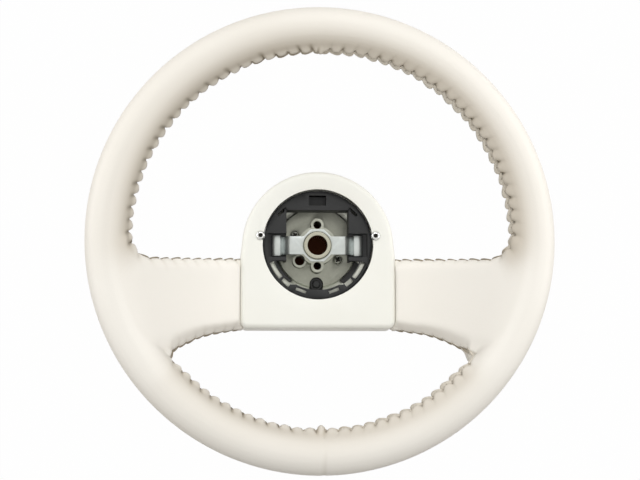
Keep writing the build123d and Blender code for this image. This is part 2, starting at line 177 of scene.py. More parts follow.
class StageSettings(bpy.types.PropertyGroup):
    """Camera and light."""

    camera_offset: bpy.props.FloatVectorProperty(
        name="Camera", description="The camera's place, from the middle of the rim",
        default=(-0.083, -0.154, 1.5), **PLACE)
    aim_offset: bpy.props.FloatVectorProperty(
        name="Aim", description="The point that the camera looks at, from the middle of the rim",
        default=(-0.0008, -0.0010, 0.0), **PLACE)
    lens: bpy.props.FloatProperty(
        name="Lens", description="Focal length for a 36 mm sensor, in millimetres",
        default=105.3, min=10)
    key: bpy.props.FloatProperty(
        name="Key", description="Power of the light from twelve o'clock", default=10.0, unit="POWER")
    fill: bpy.props.FloatProperty(
        name="Fill", description="Power of the light round the camera", default=20.0, unit="POWER")
    side: bpy.props.FloatProperty(
        name="Side Strips", description="Power of each low strip light beside the rim",
        default=4.4, unit="POWER")
    surround: bpy.props.FloatProperty(
        name="Surround", description="Strength of the even light from all sides", default=0.17, min=0)


# Materials

HIGHLIGHT_RING = (32.5 * MM, 34.5 * MM)


def start_material(name):
    """A new node material with its shader and object coordinates."""
    material = bpy.data.materials.new(name)
    material.use_nodes = True
    tree = material.node_tree
    shader = tree.nodes["Principled BSDF"]
    place = tree.nodes.new("ShaderNodeTexCoord").outputs["Object"]
    return material, tree, shader, place


def finish_shader(tree, shader, colour, relief, gloss, **even):
    """Gives a shader its colour, its relief and its roughness, and sets what is the same all over.

    The relief is a height with its strength and its depth in millimetres. The gloss is a value, the part of
    its range that counts, and the roughness at both ends of that.
    """
    height, strength, depth = relief
    value, (start, end), (low, high) = gloss
    bump = add_node(tree, "ShaderNodeBump", {"Strength": strength, "Distance": depth * MM, "Height": height})
    rough = add_node(tree, "ShaderNodeMapRange", {
        "Value": value, "From Min": start, "From Max": end, "To Min": low, "To Max": high})
    tree.links.new(colour.outputs[2], shader.inputs["Base Color"])
    tree.links.new(rough.outputs[0], shader.inputs["Roughness"])
    tree.links.new(bump.outputs[0], shader.inputs["Normal"])
    for name, setting in even.items():
        shader.inputs[name].default_value = setting


def axis_distance(tree, place):
    """Distance of each point of a surface from the steering axis."""
    flat = add_node(tree, "ShaderNodeVectorMath", {0: place, 1: (1, 1, 0)}, operation="MULTIPLY")
    return add_node(tree, "ShaderNodeVectorMath", {0: flat.outputs[0]}, operation="LENGTH").outputs["Value"]


def grained_leather(name, colour, grain_mm):
    """Pigmented cowhide, plated with a pebble grain: a soft broad sheen and faintly uneven tone."""
    material, tree, shader, place = start_material(name)
    drift = add_node(tree, "ShaderNodeTexNoise", {"Vector": place, "Scale": per_mm(95), "Detail": 2.0})
    warm = add_node(tree, "ShaderNodeMix", {
        "Factor": drift.outputs["Fac"], 6: colour, 7: linear("F5F1E8")}, data_type="RGBA")
    # soil and painted shade beside the seams, and a grey where the mark is thickest: painted shade in the
    # creases and on the lace, and the darkening of faces turned away from the driver
    soil_and_shade = add_node(tree, "ShaderNodeAttribute", attribute_name="crease")
    soiled_and_shaded = add_node(tree, "ShaderNodeMix", {
        "Factor": soil_and_shade.outputs["Fac"], 6: warm.outputs[2], 7: linear("8F7748")}, data_type="RGBA")
    thick = add_node(tree, "ShaderNodeMapRange", {
        "Value": soil_and_shade.outputs["Fac"], "From Min": 0.4, "From Max": 1.0})
    shaded_tone = add_node(tree, "ShaderNodeMix", {
        "Factor": thick.outputs[0], 6: soiled_and_shaded.outputs[2], 7: linear("57534A")}, data_type="RGBA")
    # real pebbles are half this wide: drawn coarser so that they show
    pebbles = add_node(tree, "ShaderNodeTexVoronoi", {
        "Vector": place, "Scale": per_mm(grain_mm)}, feature="SMOOTH_F1")
    pores = add_node(tree, "ShaderNodeTexNoise", {"Vector": place, "Scale": per_mm(0.6), "Detail": 3.0})
    relief = add_node(tree, "ShaderNodeMath", {
        0: pebbles.outputs["Distance"], 1: pores.outputs["Fac"]}, operation="ADD")
    finish_shader(tree, shader, shaded_tone, (relief.outputs[0], 0.22, 0.2),
                  (drift.outputs["Fac"], (0.3, 0.7), (0.46, 0.56)), IOR=1.46)
    return material


def moulded_plastic(name, colour, shade, roughness, grit_mm):
    """Moulded ABS with a spark-eroded skin, or sprayed paint: an even tone, a soft sheen and a fine grit."""
    material, tree, shader, place = start_material(name)
    drift = add_node(tree, "ShaderNodeTexNoise", {"Vector": place, "Scale": per_mm(60), "Detail": 3.0})
    tone = add_node(tree, "ShaderNodeMix", {
        "Factor": drift.outputs["Fac"], 6: colour, 7: shade}, data_type="RGBA")
    grit = add_node(tree, "ShaderNodeTexNoise", {"Vector": place, "Scale": per_mm(grit_mm), "Detail": 4.0})
    finish_shader(tree, shader, tone, (grit.outputs["Fac"], 0.12, 0.1),
                  (grit.outputs["Fac"], (0.3, 0.7), (roughness - 0.06, roughness + 0.06)), IOR=1.53)
    return material


def cast_alloy(name):
    """Die-cast aluminium, tumbled and a little tarnished: grey, mottled, with dull and bright patches."""
    material, tree, shader, place = start_material(name)
    patches = add_node(tree, "ShaderNodeTexNoise", {
        "Vector": place, "Scale": per_mm(9), "Detail": 6.0, "Roughness": 0.62})
    tone = add_node(tree, "ShaderNodeMix", {
        "Factor": patches.outputs["Fac"], 6: linear("7A7C70"), 7: linear("D2D4CA")}, data_type="RGBA")
    # the outer ring is painted lighter, as a painted highlight
    highlight_share = add_node(tree, "ShaderNodeMapRange", {
        "Value": axis_distance(tree, place), "From Min": HIGHLIGHT_RING[0], "From Max": HIGHLIGHT_RING[1],
        "To Max": 0.8})
    highlighted_tone = add_node(tree, "ShaderNodeMix", {
        "Factor": highlight_share.outputs[0], 6: tone.outputs[2], 7: linear("E6E8E0")}, data_type="RGBA")
    sand = add_node(tree, "ShaderNodeTexNoise", {"Vector": place, "Scale": per_mm(0.8), "Detail": 3.0})
    finish_shader(tree, shader, highlighted_tone, (sand.outputs["Fac"], 0.25, 0.15),
                  (patches.outputs["Fac"], (0.35, 0.65), (0.38, 0.58)), Metallic=1.0)
    return material


def turned_metal(name, light, dark, ring_mm, roughness):
    """Metal turned on a lathe: fine rings about the steering axis catch the light as a fan."""
    material, tree, shader, place = start_material(name)
    rings = add_node(tree, "ShaderNodeTexNoise", {
        "W": axis_distance(tree, place), "Scale": per_mm(ring_mm), "Detail": 2.0}, noise_dimensions="1D")
    tone = add_node(tree, "ShaderNodeMix", {
        "Factor": rings.outputs["Fac"], 6: dark, 7: light}, data_type="RGBA")
    finish_shader(tree, shader, tone, (rings.outputs["Fac"], 0.2, 0.05),
                  (rings.outputs["Fac"], (0.3, 0.7), (roughness - 0.05, roughness + 0.07)), Metallic=1.0)
    return material


def plated_steel(name, light, dark, roughness):
    """Rolled steel, plated with zinc or chrome: bright, faintly streaked, cloudy, with painted shade in a
    recess.
    """
    material, tree, shader, place = start_material(name)
    stretched = add_node(tree, "ShaderNodeMapping", {"Vector": place, "Scale": (0.06, 1.0, 1.0)})
    streaks = add_node(tree, "ShaderNodeTexNoise", {
        "Vector": stretched.outputs[0], "Scale": per_mm(0.5), "Detail": 3.0})
    clouds = add_node(tree, "ShaderNodeTexNoise", {"Vector": place, "Scale": per_mm(6), "Detail": 4.0})
    tone = add_node(tree, "ShaderNodeMix", {
        "Factor": clouds.outputs["Fac"], 6: dark, 7: light}, data_type="RGBA")
    # painted shade: the recess of a screw head is drawn dark
    recess = add_node(tree, "ShaderNodeAttribute", attribute_name="recess")
    shaded_tone = add_node(tree, "ShaderNodeMix", {
        "Factor": recess.outputs["Fac"], 6: tone.outputs[2], 7: linear("2A2926")}, data_type="RGBA")
    finish_shader(tree, shader, shaded_tone, (streaks.outputs["Fac"], 0.1, 0.04),
                  (streaks.outputs["Fac"], (0.3, 0.7), (roughness - 0.06, roughness + 0.08)), Metallic=1.0)
    return material


# Mesh helpers

LOFT_MERGE, SOLID_MERGE = 0.002 * MM, 0.004 * MM
PULL, PUSH = 0.5, -0.52


def link_object(name, data):
    """A new object at the origin, linked to the scene."""
    made = bpy.data.objects.new(name, data)
    bpy.context.scene.collection.objects.link(made)
    return made


def mesh_object(name, points, faces):
    """A linked mesh object at the origin."""
    mesh = bpy.data.meshes.new(name)
    mesh.from_pydata([tuple(p) for p in points], [], faces)
    mesh.update()
    return link_object(name, mesh)


def loop_faces(loops, count, closed):
    """Quads between closed loops of equal count, and end caps where the loops don't run round."""
    faces = []
    for row in range(loops if closed else loops - 1):
        near, far = row * count, (row + 1) % loops * count
        for step in range(count):
            after = (step + 1) % count
            faces.append((near + step, near + after, far + after, far + step))
    if not closed:
        faces.append(tuple(reversed(range(count))))
        faces.append(tuple(range((loops - 1) * count, loops * count)))
    return faces


def outward(mesh):
    """Merges doubles and turns the faces outwards."""
    work = bmesh.new()
    work.from_mesh(mesh)
    bmesh.ops.remove_doubles(work, verts=work.verts, dist=LOFT_MERGE)
    bmesh.ops.recalc_face_normals(work, faces=work.faces)
    work.to_mesh(mesh)
    work.free()
    mesh.update()


def apply_modifiers(made):
    """Turns an object's modifiers into its own plain mesh."""
    bpy.context.view_layer.update()
    evaluated = made.evaluated_get(bpy.context.evaluated_depsgraph_get())
    result = bpy.data.meshes.new_from_object(evaluated)
    made.modifiers.clear()
    made.data = result


def finish_piece(made, material, body, slot, *nodes):
    """Gives a piece its material and body, and lets it stand for its CAD nodes. The slot is not used."""
    made.data.materials.clear()
    made.data.materials.append(material)
    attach(made, body)
    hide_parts(*nodes)


def get_points(mesh):
    """Vertex places as an array."""
    points = np.empty(len(mesh.vertices) * 3)
    mesh.vertices.foreach_get("co", points)
    return points.reshape(-1, 3)


def get_normals(mesh):
    """Vertex normals as an array."""
    normals = np.empty(len(mesh.vertices) * 3)
    mesh.vertex_normals.foreach_get("vector", normals)
    return normals.reshape(-1, 3)


def set_points(mesh, points):
    """Writes vertex places back."""
    mesh.vertices.foreach_set("co", points.astype(np.float32).ravel())
    mesh.update()


def store(mesh, name, values):
    """Keeps one number for each vertex as a named attribute."""
    mesh.attributes.new(name, "FLOAT", "POINT").data.foreach_set("value", values.astype(np.float32))


def relax(mesh, weight, passes):
    """Evens a mesh by its weight, with a push back out after each pull so that it keeps its size."""
    points = get_points(mesh)
    edges = np.empty(len(mesh.edges) * 2, dtype=np.int64)
    mesh.edges.foreach_get("vertices", edges)
    a, b = edges.reshape(-1, 2).T
    valence = np.bincount(edges, minlength=len(points))[:, None]
    for share in (PULL, PUSH) * passes:
        total = np.zeros_like(points)
        np.add.at(total, a, points[b])
        np.add.at(total, b, points[a])
        points += share * weight[:, None] * (total / valence - points)
    set_points(mesh, points)


def point_tree(places):
    """A search tree that gives the number of the nearest place."""
    tree = KDTree(len(places))
    for number, place in enumerate(places):
        tree.insert(place, number)
    tree.balance()
    return tree


def ease(value, low, high):
    """A smooth share from 0 at low to 1 at high."""
    share = np.clip((value - low) / (high - low), 0, 1)
    return share * share * (3 - 2 * share)


def axis_reach(points):
    """Distance of each point from the steering axis."""
    return np.linalg.norm(points[:, :2], axis=1)


def unit(rows):
    """Each row as a direction of length 1."""
    return rows / np.linalg.norm(rows, axis=1)[:, None]


def way_along(points):
    """Distance along a line to each of its points."""
    return np.concatenate(([0], np.cumsum(np.linalg.norm(np.diff(points, axis=0), axis=1))))


def moving_average(rows, window, **ends):
    """Rows evened over a window of their neighbours, and continued past their ends by numpy's pad."""
    padded = np.pad(rows, ((window // 2, window // 2), (0, 0)), **ends)
    kernel = np.ones(window) / window
    return np.stack([np.convolve(column, kernel, "valid") for column in padded.T], axis=1)


# Leather over the rim and the spokes, in millimetres from the steering axis

RIM_STEPS, GRIP_STEPS = 288, 64
SPOKE_START = 64.9
SPOKE_FACE = 64.5
SPOKE_END = 166.0
SPOKE_STATIONS = 120
SPOKE_CORNER_X = 135.5
SPOKE_CORNER_RADIUS = 20.0
SPOKE_TOP = -12.5
SPOKE_TOP_END = -15.5
SPOKE_BOTTOM = (SPOKE_START, -70.0)
SPOKE_FLARE = (96.0, -76.0)
SPOKE_FLARE_END = (139.0, -101.0)
SPOKE_OUTER = (166.0, -48.0)
FLARE_BLEND = 12.0
LOWER_CORNER = (109.6, -95.5)
LOWER_CORNER_RADIUS = 10.0
LOWER_CORNER_TURNS = (math.radians(60), math.radians(-41))
LOWER_CORNER_DROP = 3.0
# front and back of the spoke, at the hub and where it meets the grip
FRONT = (46.0, 104.7)
BACK = (16.0, 75.3)
MEET_RADIUS = 163.1
# the soft edges: their width, and their depth as a share of half the spoke's thickness
SPOKE_EDGE = 9.0
EDGE_SHARE = 0.62
EDGE_STEPS, FACE_STEPS = 9, 16
# the lower front edge is a flank, which broadens towards the rim
LOWER_EDGE = 7.0
BROAD_EDGE = 7.0
BROAD_START = 76.0
FLANK_LINE = (97.4, -71.0)
FLANK_FALL = 0.247
FLANK_LIMIT = 1.4
FLANK_SHARE = 0.95
FLANK_FLATNESS = 1.35
HUB_CORNER, HUB_CORNER_START = 6.0, -64.0


def slope(start, end):
    """Rise of the line between two points of the plan."""
    return (end[1] - start[1]) / (end[0] - start[0])


def spoke_level(x, y, start, end):
    """Height of the spoke's front or back: a straight rise from the hub to where it lies along the grip."""
    meets = np.sqrt(MEET_RADIUS ** 2 - y ** 2)
    return start + (end - start) * np.minimum((x - SPOKE_START) / (meets - SPOKE_START), 1)


def spoke_top(x):
    """Upper edge of the spoke, with the round corner into the rim."""
    if x <= SPOKE_CORNER_X:
        return SPOKE_TOP + (SPOKE_TOP_END - SPOKE_TOP) / (SPOKE_CORNER_X - SPOKE_START) * (x - SPOKE_START)
    along = min(x - SPOKE_CORNER_X, SPOKE_CORNER_RADIUS)
    return SPOKE_TOP_END + SPOKE_CORNER_RADIUS - math.sqrt(SPOKE_CORNER_RADIUS ** 2 - along ** 2)


def spoke_bottom(x):
    """Lower edge of the spoke: the hub's line eases into the flare, which ends in the opening's corner."""
    near, far = slope(SPOKE_BOTTOM, SPOKE_FLARE), slope(SPOKE_FLARE, SPOKE_FLARE_END)
    past = x - SPOKE_FLARE[0]
    lower = far * past if past > 0 else near * past
    soft = (far - near) / (4 * FLARE_BLEND) * max(FLARE_BLEND - abs(past), 0) ** 2
    edge = SPOKE_FLARE[1] + lower + soft
    past_corner = x - LOWER_CORNER[0]
    if past_corner > LOWER_CORNER_RADIUS:
        edge = LOWER_CORNER[1] - LOWER_CORNER_DROP
    elif past_corner > LOWER_CORNER_RADIUS * math.cos(LOWER_CORNER_TURNS[0]):
        edge = LOWER_CORNER[1] + math.sqrt(LOWER_CORNER_RADIUS ** 2 - past_corner ** 2)
    inside_rim = slope(SPOKE_FLARE_END, SPOKE_OUTER)
    return max(edge, SPOKE_FLARE_END[1] + inside_rim * (x - SPOKE_FLARE_END[0]))


def spoke_section(x):
    """A section across the spoke with soft edges. The lower front edge falls away to the seam in a flank."""
    top, bottom = spoke_top(x), spoke_bottom(x)
    half = (top - bottom) / 2
    broad = LOWER_EDGE + BROAD_EDGE * ease(x, BROAD_START, SPOKE_FLARE_END[0])
    # past the opening's corner the flank keeps to its own straight line and runs out on the grip
    line = FLANK_LINE[1] - FLANK_FALL * (x - FLANK_LINE[0])
    broad = min(max(broad, line - bottom), FLANK_LIMIT * half)
    outline = []
    # width and depth of each edge, and how flat it is: 1 is round, and 2 would be a straight flank
    corners = ((1, 1, SPOKE_EDGE, EDGE_SHARE, 1), (-1, 1, broad, FLANK_SHARE, FLANK_FLATNESS),
               (-1, -1, SPOKE_EDGE, EDGE_SHARE, 1), (1, -1, SPOKE_EDGE, EDGE_SHARE, 1))
    for corner, (side_y, side_z, wide, deep, flat) in enumerate(corners):
        sweep = (0, 90) if side_y * side_z > 0 else (90, 0)
        for turn in np.radians(np.linspace(*sweep, EDGE_STEPS)):
            outline.append((side_y * (half - wide + wide * math.cos(turn) ** flat),
                            side_z * (1 - deep + deep * math.sin(turn) ** flat)))
        if corner in (0, 2):
            start = side_y * (half - wide)
            end = -side_y * (half - corners[corner + 1][2])
            outline += [(y, side_z) for y in np.linspace(start, end, FACE_STEPS)[1:-1]]
    points = []
    for y, through in outline:
        level = (top + bottom) / 2 + y
        front = spoke_level(x, level, *FRONT)
        back = spoke_level(x, level, *BACK)
        points.append((x, level, back + (front - back) * (through + 1) / 2))
    return points


def spoke_body(hand):
    """One spoke as a closed loft, on the driver's right (1) or left (-1)."""
    loops = [spoke_section(x) for x in np.linspace(SPOKE_FACE, SPOKE_END, SPOKE_STATIONS)]
    points = np.array(loops).reshape(-1, 3) * MM
    points[:, 0] *= hand
    return mesh_object("spoke", points, loop_faces(len(loops), len(loops[0]), False))


def rim_body(rim):
    """The grip as a plain ring."""
    points = []
    for turn in np.linspace(0, 2 * math.pi, RIM_STEPS, endpoint=False):
        for roll in np.linspace(0, 2 * math.pi, GRIP_STEPS, endpoint=False):
            reach = rim.rim_radius + rim.grip_radius * math.cos(roll)
            points.append((reach * math.cos(turn), reach * math.sin(turn),
                           rim.rim_height + rim.grip_radius * math.sin(roll)))
    return mesh_object("rim", points, loop_faces(RIM_STEPS, GRIP_STEPS, True))


def join_bodies(name, parts, voxel):
    """Joins overlapping closed bodies into one even skin."""
    work = bmesh.new()
    for part in parts:
        outward(part.data)
        work.from_mesh(part.data)
        bpy.data.objects.remove(part)
    mesh = bpy.data.meshes.new(name)
    work.to_mesh(mesh)
    work.free()
    made = link_object(name, mesh)
    remesh = made.modifiers.new("skin", "REMESH")
    remesh.mode = "VOXEL"
    remesh.voxel_size = voxel
    apply_modifiers(made)
    return made


# Seams, in millimetres and radians

SEAM_RADIUS = 156.0
SEAM_START = SPOKE_START + 1.5
SEAM_CORNER_STOP = 0.7
SEAM_RIM_GAP = 0.012
SEAM_LIFT = 6.5
SEAM_CLIMB = (144.0, 156.0)
SEAM_SIDE_SHARE = 0.6
ROUTE_STEP = 0.25
PLAN_STEP, PLAN_ROUNDING = 0.5, 5.0
PROBE = 12
LOWER_FOLDS = (math.radians(38), math.radians(44))
# in metres, as the skin that the seams are laid on
SEAT_STEP, SEAT_ROUNDING = 0.5 * MM, 6 * MM
RIM_FOLDS = (0.145, 0.154)
# points that the outward direction is evened over, and the share of soil and painted shade beside each seam
OUT_WINDOW = 9
UPPER_SOIL_AND_SHADE, LOWER_SOIL_AND_SHADE = 0.37, 0.26


def plan_route(upper):
    """The right half of a seam, seen from the driver. Both seams run up the rim, so their folds lie alike."""
    if upper:
        xs = np.arange(SEAM_START, SPOKE_CORNER_X + SPOKE_CORNER_RADIUS - SEAM_CORNER_STOP, ROUTE_STEP)
        edge = [(x, spoke_top(x)) for x in xs]
        start, end = math.asin(edge[-1][1] / SEAM_RADIUS) + SEAM_RIM_GAP, math.pi / 2
    else:
        bend = np.arange(*LOWER_CORNER_TURNS, -ROUTE_STEP / LOWER_CORNER_RADIUS)
        corner = [(LOWER_CORNER[0] + LOWER_CORNER_RADIUS * math.cos(t),
                   LOWER_CORNER[1] + LOWER_CORNER_RADIUS * math.sin(t)) for t in bend]
        xs = np.arange(SEAM_START, corner[0][0], ROUTE_STEP)
        edge = [(x, spoke_bottom(x)) for x in xs] + corner
        start, end = math.atan2(corner[-1][1], corner[-1][0]), -math.pi / 2
    turns = np.arange(start, end, math.copysign(ROUTE_STEP / SEAM_RADIUS, end - start))
    rim_part = [(SEAM_RADIUS * math.cos(t), SEAM_RADIUS * math.sin(t)) for t in turns]
    route = np.array(edge + rim_part)
    return route if upper else route[::-1]


def even_route(points, step, spread):
    """Resamples a line at an even step and rounds it with a moving average."""
    window = max(int(spread / step) // 2 * 2 + 1, 3)
    for _ in range(2):
        along = way_along(points)
        even = np.arange(0, along[-1], step)
        points = np.stack([np.interp(even, along, column) for column in points.T], axis=1)
        points = moving_average(points, window, mode="reflect", reflect_type="odd")
    return points


def seam_height(plan, rim, upper, hand):
    """Height of the seam: on the spoke's edge, at the top a little towards the driver, then on the grip."""
    x, y = plan.T
    middle = (spoke_level(x, y, *FRONT) + spoke_level(x, y, *BACK)) / 2
    middle += SEAM_LIFT if upper else 0
    sideways = hand * np.clip(x / (SEAM_SIDE_SHARE * SEAM_RADIUS), 0, 1)
    turn = (rim.seam_right + rim.seam_left) / 2 + (rim.seam_right - rim.seam_left) / 2 * sideways
    rim_seam = (rim.rim_height + rim.grip_radius * np.sin(turn)) / MM
    share = ease(np.hypot(x, y), *SEAM_CLIMB)
    return middle * (1 - share) + rim_seam * share


def rim_share(points):
    """1 for points on the rim and 0 for points on the spokes."""
    return ease(axis_reach(points), *RIM_FOLDS)


def seat_seam(skin, rim, upper, hand, pitch):
    """One half of a seam laid on the leather, with what its stitches and creases need, in metres."""
    plan = even_route(plan_route(upper), PLAN_STEP, PLAN_ROUNDING)
    run = unit(np.gradient(plan, axis=0))
    out = np.stack([-run[:, 1], run[:, 0]], axis=1)
    level = seam_height(plan, rim, upper, hand)
    seats = []
    for (x, y), (out_x, out_y), z in zip(plan, out, level):
        inside = Vector((hand * (x + out_x * PROBE), y + out_y * PROBE, z)) * MM
        hit = skin.ray_cast(inside, Vector((-hand * out_x, -out_y, 0)))[0]
        seats.append(hit or skin.find_nearest(Vector((hand * x, y, z)) * MM)[0])
    seats = even_route(np.array(seats), SEAT_STEP, SEAT_ROUNDING)
    found = [skin.find_nearest(Vector(seat)) for seat in seats]
    places = np.array([hit[0] for hit in found])
    outs = unit(moving_average(np.array([hit[1] for hit in found]), OUT_WINDOW, mode="edge"))
    runs = unit(np.gradient(places, axis=0))
    along = way_along(places)
    on_rim = rim_share(places)
    if not upper:
        on_rim *= ease(np.arctan2(-places[:, 1], np.abs(places[:, 0])), *LOWER_FOLDS)
    sides = np.cross(runs, outs)
    facing = math.copysign(1, sides[:, 2].mean())
    return {"places": places, "runs": runs, "outs": outs, "sides": sides * facing, "facing": facing,
            "along": along, "count": round(along[-1] / pitch), "hand": hand,
            "on_rim": on_rim, "soil_and_shade": UPPER_SOIL_AND_SHADE if upper else LOWER_SOIL_AND_SHADE}


# Folds, creases, soil and painted shade beside the seams: distances in metres, the rest as shares

SEAM_REACH = 42 * MM
REFINE_REACH = 13 * MM
MIDDLE_OVERLAP = 3 * MM
SIDE_SPAN = 60 * MM
# the folds: their size on the spokes, how they vary and taper, and how far from the seam they stand
SPOKE_FOLD = 0.22
FOLD_SMALLEST, FOLD_VARIES = 0.85, 0.3
FOLD_FATTEST = 0.42
FOLD_TAPER, FOLD_BEND = 0.72, 1.7
FOLD_CREST, FOLD_SPREAD = 2.6 * MM, 4.2 * MM
FOLD_FOOT = (0.2 * MM, 2.4 * MM)
FAR_SIDE = 0.4
PILLOW, PILLOW_REACH = 0.4 * MM, 15 * MM
# the creases between them with their painted shade, and the groove of the seam itself
CREASE_LEAN = 0.3
CREASE_SHORTEST, CREASE_VARIES, CREASE_SIDE = 0.5, 0.9, 0.5
CREASE_START, CREASE_FADE = 2 * MM, 1.4
CREASE_WIDTH, CREASE_SPREAD = 1.0 * MM, 0.1
CREASE_PAINTED_SHADE = 0.8
SEAM_DEPTH, SEAM_WIDTH = 0.9 * MM, 1.4 * MM
# soil from hands with painted shade on the grip beside each seam, and the darkening of faces turned away from
# the driver near the seams
SOIL_SHADE_MIDDLE = 6 * MM
SOIL_SHADE_SPREAD, SOIL_SHADE_SIDE = 14.5 * MM, 2.5 * MM
SOIL_SHADE_HALO, SOIL_SHADE_LEFT = 0.25, 0.25
SOIL_SHADE_SPARED = (-9 * MM, -3 * MM)
AWAY_DARK, AWAY_SPARED_RIGHT = 0.7, 0.45
AWAY_TURN = (-0.14, 0.16)
AWAY_REACH = 6 * MM
# the leather's joint at the bottom of the rim
JOIN_X, JOIN_Y = 2.0 * MM, (0.10, 0.12)
JOIN_WIDTH, JOIN_DEPTH, JOIN_DARK = 0.9 * MM, 0.7 * MM, 0.36
# where the skin is evened: past the hub's face, and where the spokes run into the grip
PAST_HUB = (0.066, 0.072)
EVEN_SHARE, HUB_PASSES = 0.9, 4
REFINED_SHARE, REFINED_PASSES = 0.6, 2
HUB_VOXELS = 0.6
INSIDE_RIM = 0.15
JUNCTION_SIDE = (0.105, 0.125)
JUNCTION_TOP, JUNCTION_FOOT = (-0.03, -0.01), (-0.13, -0.115)
JUNCTION_RIM = (-0.176, -0.166)


def refine_near(mesh, seams, reach):
    """Divides the faces near the seams, so that the creases there have room."""
    tree = point_tree(np.concatenate([seam["places"] for seam in seams]))
    work = bmesh.new()
    work.from_mesh(mesh)
    near = {vert for vert in work.verts if tree.find(vert.co)[2] < reach}
    edges = [edge for edge in work.edges if all(vert in near for vert in edge.verts)]
    bmesh.ops.subdivide_edges(work, edges=edges, cuts=1, use_grid_fill=True, smooth=0.6)
    work.to_mesh(mesh)
    work.free()
    mesh.update()


def away_darkening(points, normals):
    """Share of darkening on each point: faces turned away from the driver darken, and least on the rim's
    right.
    """
    right_of_rim = rim_share(points) * ease(points[:, 0], -SIDE_SPAN, SIDE_SPAN)
    return (AWAY_DARK - AWAY_SPARED_RIGHT * right_of_rim) * ease(-normals[:, 2], *AWAY_TURN)


def chance_of(number, seam):
    """A fixed share from 0 to 1 for each stitch of a seam, so that no two are quite alike."""
    return np.modf(np.abs(np.sin(number * 12.9898 + 4.1 * seam["hand"])) * 4375.85)[0]


def beside_seam(points, seam):
    """The points that a seam reaches: their numbers, stations, and places along, across and away from it."""
    tree = point_tree(seam["places"])
    nearby = np.flatnonzero(points[:, 0] * seam["hand"] > -MIDDLE_OVERLAP)
    found = np.array([(number, *tree.find(points[number])[1:]) for number in nearby])
    found = found[found[:, 2] < SEAM_REACH]
    chosen, station = found[:, 0].astype(int), found[:, 1].astype(int)
    away = points[chosen] - seam["places"][station]
    along = seam["along"][station] + np.sum(away * seam["runs"][station], axis=1)
    across = np.sum(away * seam["sides"][station], axis=1)
    far = np.hypot(across, np.sum(away * seam["outs"][station], axis=1))
    return chosen, station, along, across, far


def gather(points, seam, rim):
    """How far the leather moves beside a seam, how dark it is there, and how close each point is to it."""
    chosen, station, along, across, far = beside_seam(points, seam)
    spacing = seam["along"][-1] / seam["count"]
    on_rim = seam["on_rim"][station]
    sideways = np.clip(seam["places"][station, 0] / SIDE_SPAN, -1, 1)
    size = SPOKE_FOLD + (1 - SPOKE_FOLD) * on_rim
    # creases lean back along the seam as they leave it, and each fold is fattest just past its crease
    phase = (along + CREASE_LEAN * far) / spacing + 0.5
    fold = phase - np.floor(phase)
    blunt = np.sqrt(1 - (1 - np.clip(fold / FOLD_FATTEST, 0, 1)) ** 2)
    taper = 1 - FOLD_TAPER * np.clip((fold - FOLD_FATTEST) / (1 - FOLD_FATTEST), 0, 1) ** FOLD_BEND
    lobe = blunt * taper * (FOLD_SMALLEST + FOLD_VARIES * chance_of(np.floor(phase), seam))
    crest = np.exp(-((far - FOLD_CREST) / FOLD_SPREAD) ** 2) * ease(far, *FOLD_FOOT)
    lift = rim.pucker * lobe * crest * size * np.where(across > 0, 1.0, FAR_SIDE)
    pillow = PILLOW * on_rim * np.sin(math.pi * fold) * np.clip(1 - far / PILLOW_REACH, 0, 1)
    # creases run further on the left than on the right
    length = rim.crease_reach * (CREASE_SHORTEST + CREASE_VARIES * chance_of(np.round(phase), seam))
    length *= 1 - CREASE_SIDE * sideways
    fade = np.clip(1 - (far - CREASE_START) / length, 0, 1) ** CREASE_FADE
    off = (phase - np.round(phase)) * spacing
    valley = np.exp(-(off / (CREASE_WIDTH + CREASE_SPREAD * far)) ** 2)
    depth = rim.crease * valley * fade * size + SEAM_DEPTH * np.exp(-(far / SEAM_WIDTH) ** 2)
    # soil from hands and painted shade beside the seam, darkest a little way out from it
    spread = SOIL_SHADE_SPREAD - SOIL_SHADE_SIDE * sideways
    soil_and_shade = np.exp(-((far - SOIL_SHADE_MIDDLE) / spread) ** 2) + SOIL_SHADE_HALO * np.exp(-(far / (2 * spread)) ** 2)
    # on the left the folds themselves stay lighter than the grip beside them
    soil_and_shade *= on_rim * seam["soil_and_shade"] * (1 - SOIL_SHADE_LEFT * (1 - sideways) * ease(-far, *SOIL_SHADE_SPARED))
    move, dark, near = np.zeros((3, len(points)))
    move[chosen] = lift + pillow - depth
    # painted shade darkens each crease, over the soil and painted shade beside the seam
    dark[chosen] = 1 - (1 - soil_and_shade) * (1 - CREASE_PAINTED_SHADE * size * valley * fade)
    near[chosen] = np.exp(-(far / AWAY_REACH) ** 2)
    return move, dark, near


def shape_skin(rim):
    """Rim and spokes in one even skin, which lies flat against the hub and round its lower corners."""
    made = join_bodies("padded_leather", [rim_body(rim), spoke_body(1), spoke_body(-1)], rim.voxel)
    mesh = made.data
    points = get_points(mesh)
    sideways = np.abs(points[:, 0])
    relax(mesh, EVEN_SHARE * ease(sideways, *PAST_HUB), HUB_PASSES)
    junction = ease(sideways, *JUNCTION_SIDE) * ease(-points[:, 1], *JUNCTION_TOP)
    junction *= ease(points[:, 1], *JUNCTION_FOOT)
    junction *= ease(-axis_reach(points), *JUNCTION_RIM)
    relax(mesh, EVEN_SHARE * junction, rim.evening)
    points = get_points(mesh)
    at_hub = np.abs(points[:, 0]) < SPOKE_FACE * MM + HUB_VOXELS * rim.voxel
    at_hub &= axis_reach(points) < INSIDE_RIM
    below = np.clip(points[at_hub, 1] / MM - HUB_CORNER_START, -HUB_CORNER, 0)
    rounding = HUB_CORNER - np.sqrt(HUB_CORNER ** 2 - below ** 2)
    points[at_hub, 0] = np.sign(points[at_hub, 0]) * (SPOKE_FACE - rounding) * MM
    set_points(mesh, points)
    return made


